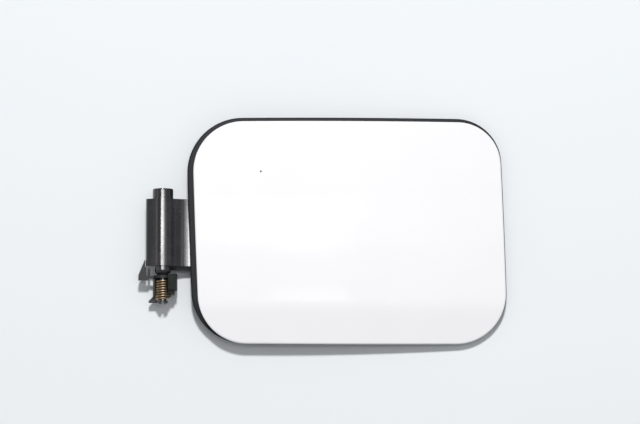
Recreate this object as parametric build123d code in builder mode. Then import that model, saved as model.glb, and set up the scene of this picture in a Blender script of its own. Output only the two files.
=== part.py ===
"""Car fuel door: a painted skin on a ribbed inner panel, carried by a moulded swept arm.

The arm turns on a pivot pin at its upper end and on a sprung stub in the pivot bracket at its lower end.
Millimetres. The hinge axis is Y and the origin is the middle of the upper pivot pin. +X runs to the free
edge and +Z out of the painted face. The door lies on the arm's webs and on its two bump stops.
"""

import os
from math import atan2, cos, degrees, radians, sin, tan

from build123d import *

# Hinge axis of the arm, from the upper pivot pin down to the split head
pivot_radius = 6.05
pivot_length = 6.0
pivot_rounding = 0.8
barrel_shoulder = 0.55
barrel_length = 39.4
barrel_rounding = 0.3
cone_root_radius = 5.2
cone_tip_radius = 3.5
cone_length = 5.3
stub_radius = 2.2
head_radius = 3.1
head_length = 1.7
head_chamfer = 0.7

# Swept plate, skirt, webs and foot of the arm
cove_reach = 15.75
cove_sink = 0.15
plate_thickness = 4.0
skirt_reach = 10.0
skirt_angle = 36.0
skirt_thickness = 2.2
web_depth = 12.4
web_belly = 12.0
web_width = 3.0
foot_start = 29.9
foot_end = 63.0
foot_width = 52.0
foot_corner = 6.0

# Torsion spring
spring_wire = 1.25
spring_outer_radius = 4.3
spring_turns = 8
spring_pitch = 1.45
spring_leg = 7.2
wire_sides = 8
spring_play = 0.25
tang_play = 0.05

# Pivot bracket
ear_thickness = 1.6
ear_margin = 3.2
ear_gap = 0.3
bore_play = 0.06
cradle_gap = 0.4
cradle_wall = 0.95
cradle_floor = 2.2
cradle_length = 10.4
cradle_wall_top = 1.0
guard_wall = 3.6
guard_top = 5.2
guard_lip = 3.3
guard_start = 1.0
guard_length = 9.5
guard_step_length = 2.5
guard_step = 1.4
fin_gap = 0.35
fin_reach = 14.3
fin_length = 9.2
fin_drop = 1.1
fin_tip = 1.0
fin_top = 0.4
fin_thickness = 2.6
web_thickness = 1.4
web_reach = 8.9
web_gap = 0.8
web_drop = 1.0
toe_reach = 8.3
toe_length = 3.6
toe_top = -3.0

# Painted skin: outline, crown and edge
panel_top = 42.2
panel_bottom = -87.5
panel_left = 18.7
panel_right = 198.5
side_lean = 2.1
edge_bow = 0.5
corner_top_left = 29.0
corner_top_right = 25.0
corner_bottom_right = 29.0
corner_bottom_left = 28.4
crown_radius = 1350.0
crown_x = 48.0
crown_y = -13.0
crown_z = 6.0
crease_y = -66.3
crease_angle = 10.0
crease_blend = 14.0
skin_thickness = 2.2
skin_edge = 1.6
rim_depth = 3.6
crown_room = 80.0
crown_turn = 12.0
block_reach = 30.0
touching = 0.01
steep_angle = 64.0

# Seal lip past the skin's outline
seal_left = 3.7
seal_top = 2.4
seal_right = 0.5
seal_bottom = -0.5
seal_thickness = 2.0
bond_gap = 0.05

# Inner panel: plate, ribs and seats
inner_thickness = 2.2
inner_play = 0.3
rib_width = 1.6
rib_seat = -6.0
rib_field_left = 74.0
rib_field_right = 158.0
rib_field_top = 28.0
rib_field_bottom = -60.0
rib_columns = 5
rib_rows = 4
seat_margin = 2.0

# Screws
screw_radius = 1.5
screw_head_radius = 3.3
screw_head_height = 2.3
screw_head_chamfer = 0.6
screw_bite = 2.8
screw_play = 0.2
thread_play = 0.05
arm_seat = -0.9
arm_screw_pitch_x = 20.0
arm_screw_pitch_y = 36.0

# Bump stops
stop_x = 172.0
stop_upper_y = 17.0
stop_lower_y = -57.0
stop_seat = -7.2
stop_base_radius = 5.5
stop_base_height = 1.5
stop_radius = 4.2
stop_tip_radius = 2.6
stop_stem_radius = 2.2
stop_stem_length = 1.7
stop_stem_play = 0.1

# Latch striker
striker_x = 168.0
striker_y = -20.0
striker_seat = -5.9
striker_length = 17.0
striker_width = 34.0
striker_plate = 2.0
striker_corner = 3.0
hook_width = 14.0
hook_wall = 2.4
hook_drop = 4.2
hook_lip = 3.6
hook_lip_thickness = 1.5
striker_screw_pitch = 24.0

# Filler cap hanger
hanger_x = 122.0
hanger_y = -16.0
hanger_seat = -1.9
hanger_width = 14.0
hanger_length = 38.0
hanger_plate = 2.2
hanger_corner = 3.0
hanger_gap = 5.0
hanger_arm = 2.6
hanger_arm_length = 16.0
hanger_lip = 1.6
hanger_screw_inset = 5.0

# Stations along the hinge axis
barrel_top = -pivot_length / 2
barrel_end = barrel_top - barrel_length
cone_end = barrel_end - cone_length
ear_top = cone_end - ear_gap
ear_bottom = ear_top - ear_thickness
coil_radius = spring_outer_radius - spring_wire / 2
coil_start = ear_bottom - spring_play - spring_wire / 2
coil_end = coil_start - spring_turns * spring_pitch
head_top = coil_end - spring_wire / 2 - spring_play
head_end = head_top - head_length
slot_width = spring_wire + 2 * tang_play
slot_end = coil_end + spring_wire / 2 + spring_play

# Cove of the swept plate, sunk a little into the barrel, and the arm's places under the panel
rest_plane = -web_depth
barrel_radius = pivot_radius + barrel_shoulder
cove_root = barrel_radius - cove_sink
cove_radius = (cove_reach**2 + arm_seat**2 - cove_root**2) / (2 * (cove_root - arm_seat))
cove_centre = (cove_reach, arm_seat + cove_radius)
cove_mid_radius = cove_radius + plate_thickness / 2
cove_angle = degrees(atan2(-cove_centre[1], -cove_centre[0]))
foot_middle = arm_seat - plate_thickness / 2
plate_end = foot_start + plate_thickness
skirt_length = (skirt_reach**2 - cove_root**2) ** 0.5
skirt_root = cove_root - skirt_thickness / 2
arm_width = barrel_length + web_width
arm_centre_y = barrel_top - arm_width / 2
foot_centre_x = (foot_start + foot_end) / 2

# Depths of the layers below the painted face
inner_top = skin_thickness + bond_gap
inner_middle = inner_top + inner_thickness / 2
inner_bottom = inner_top + inner_thickness
seal_start = rim_depth + bond_gap
seal_end = seal_start + seal_thickness

# Reach of the raw blocks that are cut to the crowned face
block_low = rest_plane - block_reach
block_high = crown_z + block_reach


def underneath(depth):
    """The space below the crowned and creased face, that many millimetres under the paint."""
    centre = (crown_x, crown_y, crown_z - crown_radius)
    turn = radians(-crown_turn)
    section_plane = Plane(centre, x_dir=(0, 1, 0), z_dir=(cos(turn), 0, -sin(turn)))
    run = crease_y - crown_y
    slope = radians(crease_angle)
    crease = Vector(run + depth * sin(slope), (crown_radius**2 - run**2) ** 0.5 - depth * cos(slope))
    with BuildPart() as space:
        with BuildSketch(section_plane) as section:
            Circle(crown_radius - depth)
            with Locations(Location((crease.X, crease.Y, 0), (0, 0, crease_angle))):
                Rectangle(5 * crown_room, crown_room, align=(Align.CENTER, Align.MAX), mode=Mode.INTERSECT)
            corner = section.sketch_local.vertices().sort_by_distance(crease)[0]
            fillet(corner, crease_blend - depth)
        revolve(axis=Axis(centre, (0, 1, 0)), revolution_arc=2 * crown_turn)
    return space.part


def panel_outline(left=0.0, top=0.0, right=0.0, bottom=0.0):
    """The door's rounded outline, with each edge moved out by its own amount."""
    lean = tan(radians(side_lean))
    low, high = panel_bottom - bottom, panel_top + top
    low_left, high_left = panel_left - left - low * lean, panel_left - left - high * lean
    low_right, high_right = panel_right + right - low * lean, panel_right + right - high * lean
    corners = [(high_left, high), (low_left, low), (low_right, low), (high_right, high)]
    radii = [
        corner_top_left + (left + top) / 2,
        corner_bottom_left + (left + bottom) / 2,
        corner_bottom_right + (right + bottom) / 2,
        corner_top_right + (right + top) / 2,
    ]
    with BuildSketch() as outline:
        with BuildLine():
            for first, second in zip(corners, corners[1:] + corners[:1]):
                SagittaArc(first, second, -edge_bow)
        make_face()
        for place, radius in zip(corners, radii):
            fillet(outline.vertices().sort_by_distance(Vector(*place))[0], radius)
    return outline.sketch


def layer(plan, upper, lower=None):
    """A plate of that plan between two depths under the painted face, or open below the first one."""
    with BuildPart() as plate:
        with BuildSketch(Plane.XY.offset(block_low)):
            add(plan)
        extrude(amount=block_high - block_low)
        add(underneath(upper), mode=Mode.INTERSECT)
        if lower is not None:
            add(underneath(lower), mode=Mode.SUBTRACT)
    return plate.part


def inset_outline(amount):
    """The door's outline, drawn in by the same amount on every side."""
    return panel_outline(-amount, -amount, -amount, -amount)


def foot_shape(margin=0.0):
    """Plan of the arm's foot, from the end of the neck's bend to its free end."""
    with BuildSketch() as plan:
        with BuildLine():
            Polyline(
                (foot_start - margin, arm_centre_y + arm_width / 2 + margin),
                (foot_start - margin, arm_centre_y - arm_width / 2 - margin),
                (foot_end + margin, arm_centre_y - foot_width / 2 - margin),
                (foot_end + margin, arm_centre_y + foot_width / 2 + margin),
                close=True,
            )
        make_face()
        fillet(plan.vertices().group_by(Axis.X)[-1], foot_corner + margin)
    return plan.sketch


def rib_field(clear_of):
    """Plan of the crossing ribs behind the middle of the door, left out under the given seat."""
    width = rib_field_right - rib_field_left
    height = rib_field_top - rib_field_bottom
    centre = ((rib_field_left + rib_field_right) / 2, (rib_field_top + rib_field_bottom) / 2)
    with BuildSketch() as plan:
        with Locations(centre):
            with GridLocations(width / (rib_columns - 1), 0, rib_columns, 1):
                Rectangle(rib_width, height)
            with GridLocations(0, height / (rib_rows - 1), 1, rib_rows):
                Rectangle(width + rib_width, rib_width)
        add(clear_of, mode=Mode.SUBTRACT)
    return plan.sketch


def rounded_plan(x, y, length, width, corner):
    """A rounded rectangle with its centre at x, y."""
    with BuildSketch() as plan:
        with Locations((x, y)):
            RectangleRounded(length, width, corner)
    return plan.sketch


def round_plan(x, y, radius):
    """A disc with its centre at x, y."""
    with BuildSketch() as plan:
        with Locations((x, y)):
            Circle(radius)
    return plan.sketch


arm_screw_places = [
    (foot_centre_x + side * arm_screw_pitch_x / 2, arm_centre_y + end * arm_screw_pitch_y / 2)
    for side in (-1, 1)
    for end in (-1, 1)
]
striker_screw_places = [(striker_x, striker_y + end * striker_screw_pitch / 2) for end in (-1, 1)]
hanger_screw_rise = hanger_length / 2 - hanger_screw_inset
hanger_screw_places = [(hanger_x, hanger_y + end * hanger_screw_rise) for end in (-1, 1)]
stop_places = {"bump_stop_upper": (stop_x, stop_upper_y), "bump_stop_lower": (stop_x, stop_lower_y)}

outline = panel_outline()
outline_wire = outline.wire()
os.makedirs("parts", exist_ok=True)


def on_upper_rim(edge):
    """True for the edges where the painted face meets the door's sides."""
    middle = edge.position_at(0.5)
    level = abs(edge.tangent_at(0.5).Z) < sin(radians(steep_angle)) and middle.Z > rest_plane
    return level and outline_wire.distance_to(Vector(middle.X, middle.Y)) < touching


# Painted skin: a crowned tray with a rounded edge and a short rim
painted_space = underneath(0)
rim_space = underneath(rim_depth)
skin_pocket = layer(inset_outline(skin_thickness), skin_thickness)
with BuildPart() as outer_panel:
    with BuildSketch(Plane.XY.offset(block_low)):
        add(outline)
    extrude(amount=block_high - block_low)
    add(painted_space, mode=Mode.INTERSECT)
    fillet(outer_panel.edges().filter_by(on_upper_rim), skin_edge)
    add(rim_space, mode=Mode.SUBTRACT)
    add(skin_pocket, mode=Mode.SUBTRACT)
outer_panel.part.label = "outer_panel"
export_step(outer_panel.part, "parts/outer_panel.step")

# Seal lip under the rim, standing out on the hinge side and along the top
seal_plate = layer(panel_outline(seal_left, seal_top, seal_right, seal_bottom), seal_start, seal_end)
seal_window = layer(inset_outline(skin_thickness + bond_gap), rim_depth)
with BuildPart() as edge_seal:
    add(seal_plate)
    add(seal_window, mode=Mode.SUBTRACT)
edge_seal.part.label = "edge_seal"
export_step(edge_seal.part, "parts/edge_seal.step")

# Inner panel: crowned plate with a rib field, and a flat seat for each piece that it carries
striker_pad = rounded_plan(
    striker_x,
    striker_y,
    striker_length + 2 * seat_margin,
    striker_width + 2 * seat_margin,
    striker_corner + seat_margin,
)
hanger_pad = rounded_plan(
    hanger_x,
    hanger_y,
    hanger_width + 2 * seat_margin,
    hanger_length + 2 * seat_margin,
    hanger_corner + seat_margin,
)
hanger_face = rounded_plan(
    hanger_x,
    hanger_y,
    hanger_width + seat_margin,
    hanger_length + seat_margin,
    hanger_corner,
)
inner_plate = layer(inset_outline(skin_thickness + inner_play), inner_top, inner_bottom)
seats = [
    (rib_field(hanger_face), rib_seat),
    (foot_shape(seat_margin), arm_seat),
    (striker_pad, striker_seat),
    (hanger_pad, hanger_seat),
    *[(round_plan(x, y, stop_base_radius + seat_margin), stop_seat) for x, y in stop_places.values()],
]
screw_seats = [
    *[(x, y, arm_seat) for x, y in arm_screw_places],
    *[(x, y, striker_seat) for x, y in striker_screw_places],
    *[(x, y, hanger_seat) for x, y in hanger_screw_places],
]
stem_seats = [(x, y, stop_seat) for x, y in stop_places.values()]
upwards = (Align.CENTER, Align.CENTER, Align.MIN)
downwards = (Align.CENTER, Align.CENTER, Align.MAX)
wall_core = underneath(inner_middle)
with BuildPart() as underside:
    for plan, seat in seats:
        with BuildSketch(Plane.XY.offset(seat)):
            add(plan)
        extrude(amount=block_high - seat)
    add(wall_core, mode=Mode.INTERSECT)
with BuildPart() as inner_panel:
    add(inner_plate)
    add(underside.part)
    with Locations(*screw_seats):
        Cylinder(screw_radius + thread_play, screw_bite + thread_play, align=upwards, mode=Mode.SUBTRACT)
    with Locations(*stem_seats):
        stem_bore = stop_stem_radius + stop_stem_play
        Cylinder(stem_bore, stop_stem_length + stop_stem_play, align=upwards, mode=Mode.SUBTRACT)
inner_panel.part.label = "inner_panel"
export_step(inner_panel.part, "parts/inner_panel.step")

# Hinge arm: pivot, barrel, cone, stub and split head turned on the axis, then plate, skirt, webs and foot
with BuildPart() as hinge_arm:
    with BuildSketch(Plane.XY) as turned:
        with BuildLine():
            Polyline(
                (0, pivot_length / 2),
                (pivot_radius, pivot_length / 2),
                (pivot_radius, barrel_top),
                (barrel_radius, barrel_top),
                (barrel_radius, barrel_end),
                (cone_root_radius, barrel_end),
                (cone_tip_radius, cone_end),
                (stub_radius, cone_end),
                (stub_radius, head_top),
                (head_radius, head_top),
                (head_radius, head_end),
                (0, head_end),
                close=True,
            )
        make_face()
        rims = turned.vertices().group_by(Axis.X)
        fillet(rims[-1], barrel_rounding)
        fillet(turned.vertices().sort_by_distance((pivot_radius, pivot_length / 2))[0], pivot_rounding)
        chamfer(turned.vertices().sort_by_distance((head_radius, head_end))[0], head_chamfer)
    revolve(axis=Axis.Y)
    with BuildSketch(Plane.XZ.offset(-barrel_top)):
        with BuildLine() as plate_line:
            cove = CenterArc(cove_centre, cove_mid_radius, cove_angle, -90 - cove_angle)
            Line(cove @ 1, (plate_end, foot_middle))
        trace(line_width=plate_thickness)
        with BuildLine():
            skirt_top = Vector(0, skirt_root).rotate(Axis.Z, skirt_angle)
            PolarLine(skirt_top, skirt_length, 180 + skirt_angle)
        trace(line_width=skirt_thickness)
    extrude(amount=barrel_length)
    for station in (barrel_top, barrel_top - (barrel_length - web_width) / 2, barrel_end):
        with BuildSketch(Plane.XZ.offset(-station)):
            with BuildLine():
                add(plate_line.line)
                Polyline(
                    plate_line.line @ 1,
                    (foot_start, foot_middle - plate_thickness / 2),
                    (cove_reach + web_belly / 2, rest_plane),
                    (cove_reach - web_belly / 2, rest_plane),
                    (0, -cove_root),
                    plate_line.line @ 0,
                )
            make_face()
        extrude(amount=web_width)
    with BuildSketch(Plane.XY.offset(arm_seat)):
        add(foot_shape())
    extrude(amount=-plate_thickness)
    with Locations(*[(x, y, arm_seat) for x, y in arm_screw_places]):
        Hole(screw_radius + screw_play, plate_thickness)
    with BuildSketch(Plane.XY):
        with Locations((0, head_end)):
            Rectangle(slot_width, slot_end - head_end, align=(Align.CENTER, Align.MIN))
    extrude(amount=head_radius, both=True, mode=Mode.SUBTRACT)
hinge_arm.part.label = "hinge_arm"
export_step(hinge_arm.part, "parts/hinge_arm.step")

# Torsion spring: coil on the stub, a straight leg in the guard and a tang through the split head
coil_plane = Plane((0, coil_start, 0), x_dir=(0, 0, -1), z_dir=(0, -1, 0))
coil = coil_plane.location * Helix(spring_pitch, spring_turns * spring_pitch, coil_radius, lefthand=True)
with BuildPart() as torsion_spring:
    with BuildSketch(Plane(coil @ 0, z_dir=coil % 0)):
        RegularPolygon(spring_wire / 2, wire_sides, major_radius=False)
    sweep(path=coil, is_frenet=True)
    with BuildSketch(Plane((0, coil_start, -coil_radius), z_dir=(1, 0, 0))):
        RegularPolygon(spring_wire / 2, wire_sides, major_radius=False)
    extrude(amount=spring_leg)
    with BuildSketch(Plane((0, coil_end, -coil_radius), z_dir=(0, 0, 1))):
        RegularPolygon(spring_wire / 2, wire_sides, major_radius=False)
    extrude(amount=coil_radius + stub_radius)
torsion_spring.part.label = "torsion_spring"
export_step(torsion_spring.part, "parts/torsion_spring.step")

# Pivot bracket: bearing ear, open cradle round the spring, guard, guide fin and toe
cradle_radius = spring_outer_radius + cradle_gap
cradle_bottom = -cradle_radius - cradle_floor
cradle_end = ear_bottom - cradle_length
guard_right = cradle_radius + guard_wall
guard_end = ear_top + guard_start - guard_length
guard_high = ear_top + guard_start
wall_left = -cradle_radius - cradle_wall
fin_inner = -skirt_reach - fin_gap
fin_high = ear_top + fin_length
web_high = barrel_end - fin_gap - web_drop
ear_radius = stub_radius + ear_margin

with BuildPart() as pivot_bracket:
    with BuildSketch(Plane.XZ.offset(-ear_top)):
        Circle(ear_radius)
        with Locations((wall_left, cradle_bottom)):
            Rectangle(guard_right - wall_left, -cradle_bottom, align=Align.MIN)
        with Locations((-fin_reach, fin_top)):
            Rectangle(fin_reach, fin_thickness, align=(Align.MIN, Align.MAX))
    extrude(amount=ear_thickness)
    with BuildSketch(Plane.XZ.offset(-ear_bottom)):
        with Locations((wall_left, cradle_bottom)):
            Rectangle(2 * cradle_radius + cradle_wall, cradle_floor, align=Align.MIN)
            Rectangle(cradle_wall, cradle_wall_top - cradle_bottom, align=Align.MIN)
    extrude(amount=cradle_length)
    with BuildSketch(Plane.XZ.offset(-guard_high)):
        with Locations((guard_lip, cradle_bottom)):
            Rectangle(guard_right - guard_lip, guard_top - cradle_bottom, align=Align.MIN)
    extrude(amount=guard_length)
    with BuildSketch(Plane.XZ.offset(-guard_end)):
        with Locations((guard_lip, cradle_bottom)):
            step_width = guard_right - guard_step - guard_lip
            Rectangle(step_width, guard_top - guard_step - cradle_bottom, align=Align.MIN)
    extrude(amount=guard_step_length)
    with BuildSketch(Plane.XY.offset(fin_top)):
        with BuildLine():
            Polyline(
                (fin_inner, fin_high),
                (fin_inner - fin_tip / 4, fin_high),
                (-fin_reach, ear_top + fin_tip / 4),
                (-fin_reach, ear_bottom - fin_drop),
                (-web_reach + web_thickness / 2, ear_bottom - fin_drop),
                (-web_reach + web_thickness / 2, ear_top),
                (-web_reach - web_gap, ear_top),
                (-web_reach - web_gap, barrel_end - fin_gap),
                (fin_inner, barrel_end - fin_gap),
                close=True,
            )
        make_face()
    extrude(amount=-fin_thickness)
    with BuildSketch(Plane.XZ.offset(-ear_top)):
        with Locations((-web_reach, cradle_bottom / 2)):
            Rectangle(web_thickness, fin_top - web_drop - cradle_bottom / 2, align=Align.MIN)
    extrude(amount=ear_top - web_high)
    with BuildSketch(Plane.XY.offset(toe_top)):
        with BuildLine():
            Polyline(
                (wall_left + cradle_wall, cradle_end),
                (wall_left, cradle_end),
                (-toe_reach, cradle_end - toe_length + fin_tip),
                (-toe_reach, cradle_end - toe_length),
                (-head_radius - fin_gap, cradle_end - toe_length),
                (-head_radius - fin_gap, cradle_end),
                close=True,
            )
        make_face()
    extrude(amount=cradle_bottom - toe_top)
    with BuildSketch(Plane.XZ.offset(-guard_high)):
        Circle(cradle_radius)
    extrude(amount=guard_start, mode=Mode.SUBTRACT)
    with BuildSketch(Plane.XZ.offset(-ear_bottom)):
        Circle(cradle_radius)
    extrude(amount=guard_length + guard_step_length, mode=Mode.SUBTRACT)
    with BuildSketch(Plane.XZ.offset(-ear_top)):
        Circle(stub_radius + bore_play)
    extrude(amount=ear_thickness, mode=Mode.SUBTRACT)
    with BuildSketch(Plane.YZ):
        with Locations((coil_start, -coil_radius)):
            Rectangle(spring_wire + 2 * spring_play, spring_wire + 2 * spring_play)
    extrude(amount=guard_right, mode=Mode.SUBTRACT)
pivot_bracket.part.label = "pivot_bracket"
export_step(pivot_bracket.part, "parts/pivot_bracket.step")

# Latch striker: a plate with a hooked lip that the catch draws against
striker_low = striker_seat - striker_plate
with BuildPart() as latch_striker:
    with BuildSketch(Plane.XY.offset(striker_seat)):
        add(rounded_plan(striker_x, striker_y, striker_length, striker_width, striker_corner))
    extrude(amount=-striker_plate)
    with BuildSketch(Plane.XZ.offset(-striker_y - hook_width / 2)):
        with Locations((striker_x + hook_wall / 2, striker_low)):
            Rectangle(hook_wall, hook_drop, align=(Align.MAX, Align.MAX))
        with Locations((striker_x + hook_wall / 2, striker_low - hook_drop)):
            Rectangle(hook_wall + hook_lip, hook_lip_thickness, align=(Align.MAX, Align.MIN))
    extrude(amount=hook_width)
    with Locations(*[(x, y, striker_seat) for x, y in striker_screw_places]):
        Hole(screw_radius + screw_play, striker_plate)
latch_striker.part.label = "latch_striker"
export_step(latch_striker.part, "parts/latch_striker.step")

# Cap hanger: a screwed plate with an arm that leaves a gap for the cap's strap
hanger_low = hanger_seat - hanger_plate
hanger_foot = hanger_screw_places[0][1] + screw_head_radius + seat_margin
with BuildPart() as cap_hanger:
    with BuildSketch(Plane.XY.offset(hanger_seat)):
        add(rounded_plan(hanger_x, hanger_y, hanger_width, hanger_length, hanger_corner))
    extrude(amount=-hanger_plate)
    with BuildSketch(Plane.YZ.offset(hanger_x - hanger_width / 2)):
        with Locations((hanger_foot, hanger_low - hanger_gap - hanger_arm)):
            Rectangle(hanger_arm, hanger_gap + hanger_arm, align=Align.MIN)
            Rectangle(hanger_arm_length, hanger_arm, align=Align.MIN)
        with Locations((hanger_foot + hanger_arm_length, hanger_low - hanger_gap)):
            Rectangle(hanger_arm, hanger_lip, align=(Align.MAX, Align.MIN))
    extrude(amount=hanger_width)
    with Locations(*[(x, y, hanger_seat) for x, y in hanger_screw_places]):
        Hole(screw_radius + screw_play, hanger_plate)
cap_hanger.part.label = "cap_hanger"
export_step(cap_hanger.part, "parts/cap_hanger.step")

# Screws, driven upwards into the inner panel's bosses
screw_groups = {
    "arm_screw": (arm_screw_places, arm_seat, plate_thickness),
    "striker_screw": (striker_screw_places, striker_seat, striker_plate),
    "hanger_screw": (hanger_screw_places, hanger_seat, hanger_plate),
}
for group, (places, seat, grip) in screw_groups.items():
    for number, (x, y) in enumerate(places, start=1):
        with BuildPart() as screw:
            with Locations((x, y, seat - grip)):
                Cylinder(screw_head_radius, screw_head_height, align=downwards)
                Cylinder(screw_radius, grip + screw_bite, align=upwards)
            crown = screw.edges().filter_by(GeomType.CIRCLE).sort_by(Axis.Z)[0]
            chamfer(crown, screw_head_chamfer)
        screw.part.label = f"{group}_{number}"
        export_step(screw.part, f"parts/{group}_{number}.step")

# Bump stops: rubber buttons with a stem in the inner panel and a domed tip at the rest plane
for name, (x, y) in stop_places.items():
    stop_height = stop_seat - rest_plane
    with BuildPart() as bump_stop:
        with BuildSketch(Plane((x, y, stop_seat), x_dir=(1, 0, 0), z_dir=(0, -1, 0))) as profile:
            with BuildLine():
                Polyline(
                    (0, stop_stem_length),
                    (stop_stem_radius, stop_stem_length),
                    (stop_stem_radius, 0),
                    (stop_base_radius, 0),
                    (stop_base_radius, -stop_base_height),
                    (stop_radius, -stop_base_height),
                    (stop_tip_radius, -stop_height),
                    (0, -stop_height),
                    close=True,
                )
            make_face()
        revolve(axis=Axis((x, y, 0), (0, 0, 1)))
    bump_stop.part.label = name
    export_step(bump_stop.part, f"parts/{name}.step")
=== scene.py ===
"""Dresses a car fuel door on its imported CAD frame: painted skin, seal, inner panel and sprung hinge.

Everything is in metres in the frame of the CAD model. The hinge axis is Y, +X runs to the free edge and
+Z out of the painted face. The door lies on the arm's webs and on its two bump stops.
"""

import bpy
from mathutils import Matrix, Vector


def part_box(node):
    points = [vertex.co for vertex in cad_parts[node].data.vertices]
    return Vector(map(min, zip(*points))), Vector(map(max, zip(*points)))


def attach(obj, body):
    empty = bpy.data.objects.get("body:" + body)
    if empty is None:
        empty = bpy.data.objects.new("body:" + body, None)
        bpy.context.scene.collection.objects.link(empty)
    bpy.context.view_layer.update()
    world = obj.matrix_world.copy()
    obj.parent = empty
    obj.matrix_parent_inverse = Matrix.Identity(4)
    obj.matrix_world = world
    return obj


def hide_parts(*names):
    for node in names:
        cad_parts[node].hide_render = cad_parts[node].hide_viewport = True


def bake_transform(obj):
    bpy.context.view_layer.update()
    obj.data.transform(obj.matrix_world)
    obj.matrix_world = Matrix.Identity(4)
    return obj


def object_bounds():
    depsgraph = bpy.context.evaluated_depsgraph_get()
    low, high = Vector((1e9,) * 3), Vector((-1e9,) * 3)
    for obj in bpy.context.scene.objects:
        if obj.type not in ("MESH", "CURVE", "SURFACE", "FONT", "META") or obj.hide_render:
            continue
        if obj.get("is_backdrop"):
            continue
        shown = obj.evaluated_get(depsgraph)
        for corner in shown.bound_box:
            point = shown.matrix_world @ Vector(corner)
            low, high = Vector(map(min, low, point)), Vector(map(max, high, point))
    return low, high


bl_info = {
    "name": "Car Fuel Door",
    "version": (1, 0, 0),
    "blender": (4, 5, 0),
    "location": "3D View > Sidebar > Fuel Door",
    "description": "Builds a painted fuel door with its sprung hinge on a packed CAD frame",
    "category": "Object",
}

from math import atan2, cos, hypot, pi, radians, sin, sqrt, tan

import bmesh
import bpy
from bpy.props import FloatProperty, FloatVectorProperty, IntProperty, PointerProperty
from mathutils import Vector

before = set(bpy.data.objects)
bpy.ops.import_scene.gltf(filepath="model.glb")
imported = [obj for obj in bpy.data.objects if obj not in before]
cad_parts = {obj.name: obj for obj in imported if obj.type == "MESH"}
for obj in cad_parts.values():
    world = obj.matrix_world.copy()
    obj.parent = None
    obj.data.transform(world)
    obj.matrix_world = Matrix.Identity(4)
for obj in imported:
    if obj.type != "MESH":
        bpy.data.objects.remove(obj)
cad_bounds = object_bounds()
mm = 0.001
hair = 0.01 * mm  # parts faces that would lie in one plane
overlap = 0.1 * mm  # how far a form reaches into its neighbour


def length(name, description, default):
    """A length in millimetres as a property in metres."""
    return FloatProperty(name=name, description=description, default=default * mm, unit="LENGTH", precision=5)


def lengths(name, description, *defaults):
    """Lengths in millimetres as one property in metres."""
    default = [value * mm for value in defaults]
    return FloatVectorProperty(
        name=name, description=description, default=default, size=len(default), unit="LENGTH", precision=5
    )


def angle(name, description, default):
    """An angle in degrees as a property in radians."""
    return FloatProperty(name=name, description=description, default=radians(default), subtype="ANGLE")


def amount(name, description, default):
    """A strength or power as a property."""
    return FloatProperty(name=name, description=description, default=default, min=0.0)


def count(name, description, default, least):
    """A whole number as a property."""
    return IntProperty(name=name, description=description, default=default, min=least)


def colour(name, description, *default):
    """A linear colour as a property."""
    return FloatVectorProperty(
        name=name, description=description, default=default, subtype="COLOR", size=3, min=0.0, max=1.0
    )


class DoorShape(bpy.types.PropertyGroup):
    """Outline, crown and layers of the door."""

    sides: lengths("Sides", "Hinge edge and free edge of the skin at the axis", 18.7, 198.5)
    ends: lengths("Ends", "Lower and upper edge of the skin", -87.5, 42.2)
    lean: angle("Lean", "Lean of both side edges", 2.1)
    bow: length("Bow", "Outward bow of every edge", 0.5)
    corners: lengths("Corners", "Radii, anticlockwise from the lower hinge corner", 28.4, 29.0, 25.0, 29.0)
    crown: lengths("Crown", "Highest point of the crowned face", 48.0, -13.0, 6.0)
    crown_radius: length("Crown radius", "Radius of the crowned face", 1350.0)
    crease_y: length("Crease", "Line where the lower strip turns down", -66.3)
    crease_angle: angle("Crease angle", "Slope of the lower strip", 10.0)
    crease_blend: length("Crease blend", "Depth over which the crease is softened", 0.5)
    skin_thickness: length("Skin thickness", "Wall of the painted skin", 2.2)
    skin_edge: length("Skin edge", "Rounding of the skin's edge", 0.8)
    rim_depth: length("Rim depth", "Height of the skin's turned-down rim", 3.6)
    rim_rounding: length("Rim rounding", "Lower edge of the rim", 0.35)
    bond_gap: length("Bond gap", "Room for the bond between layers", 0.05)
    seal: lengths("Seal", "Reach past the skin on the left, top, right and bottom", 3.7, 2.4, 0.5, -0.5)
    seal_thickness: length("Seal thickness", "Thickness of the lip", 2.0)
    inner_thickness: length("Inner thickness", "Wall of the inner panel", 2.2)
    inner_rounding: length("Inner rounding", "Lower edge of the inner panel", 0.4)
    inner_play: length("Inner play", "Gap round the inner panel", 0.3)


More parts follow.
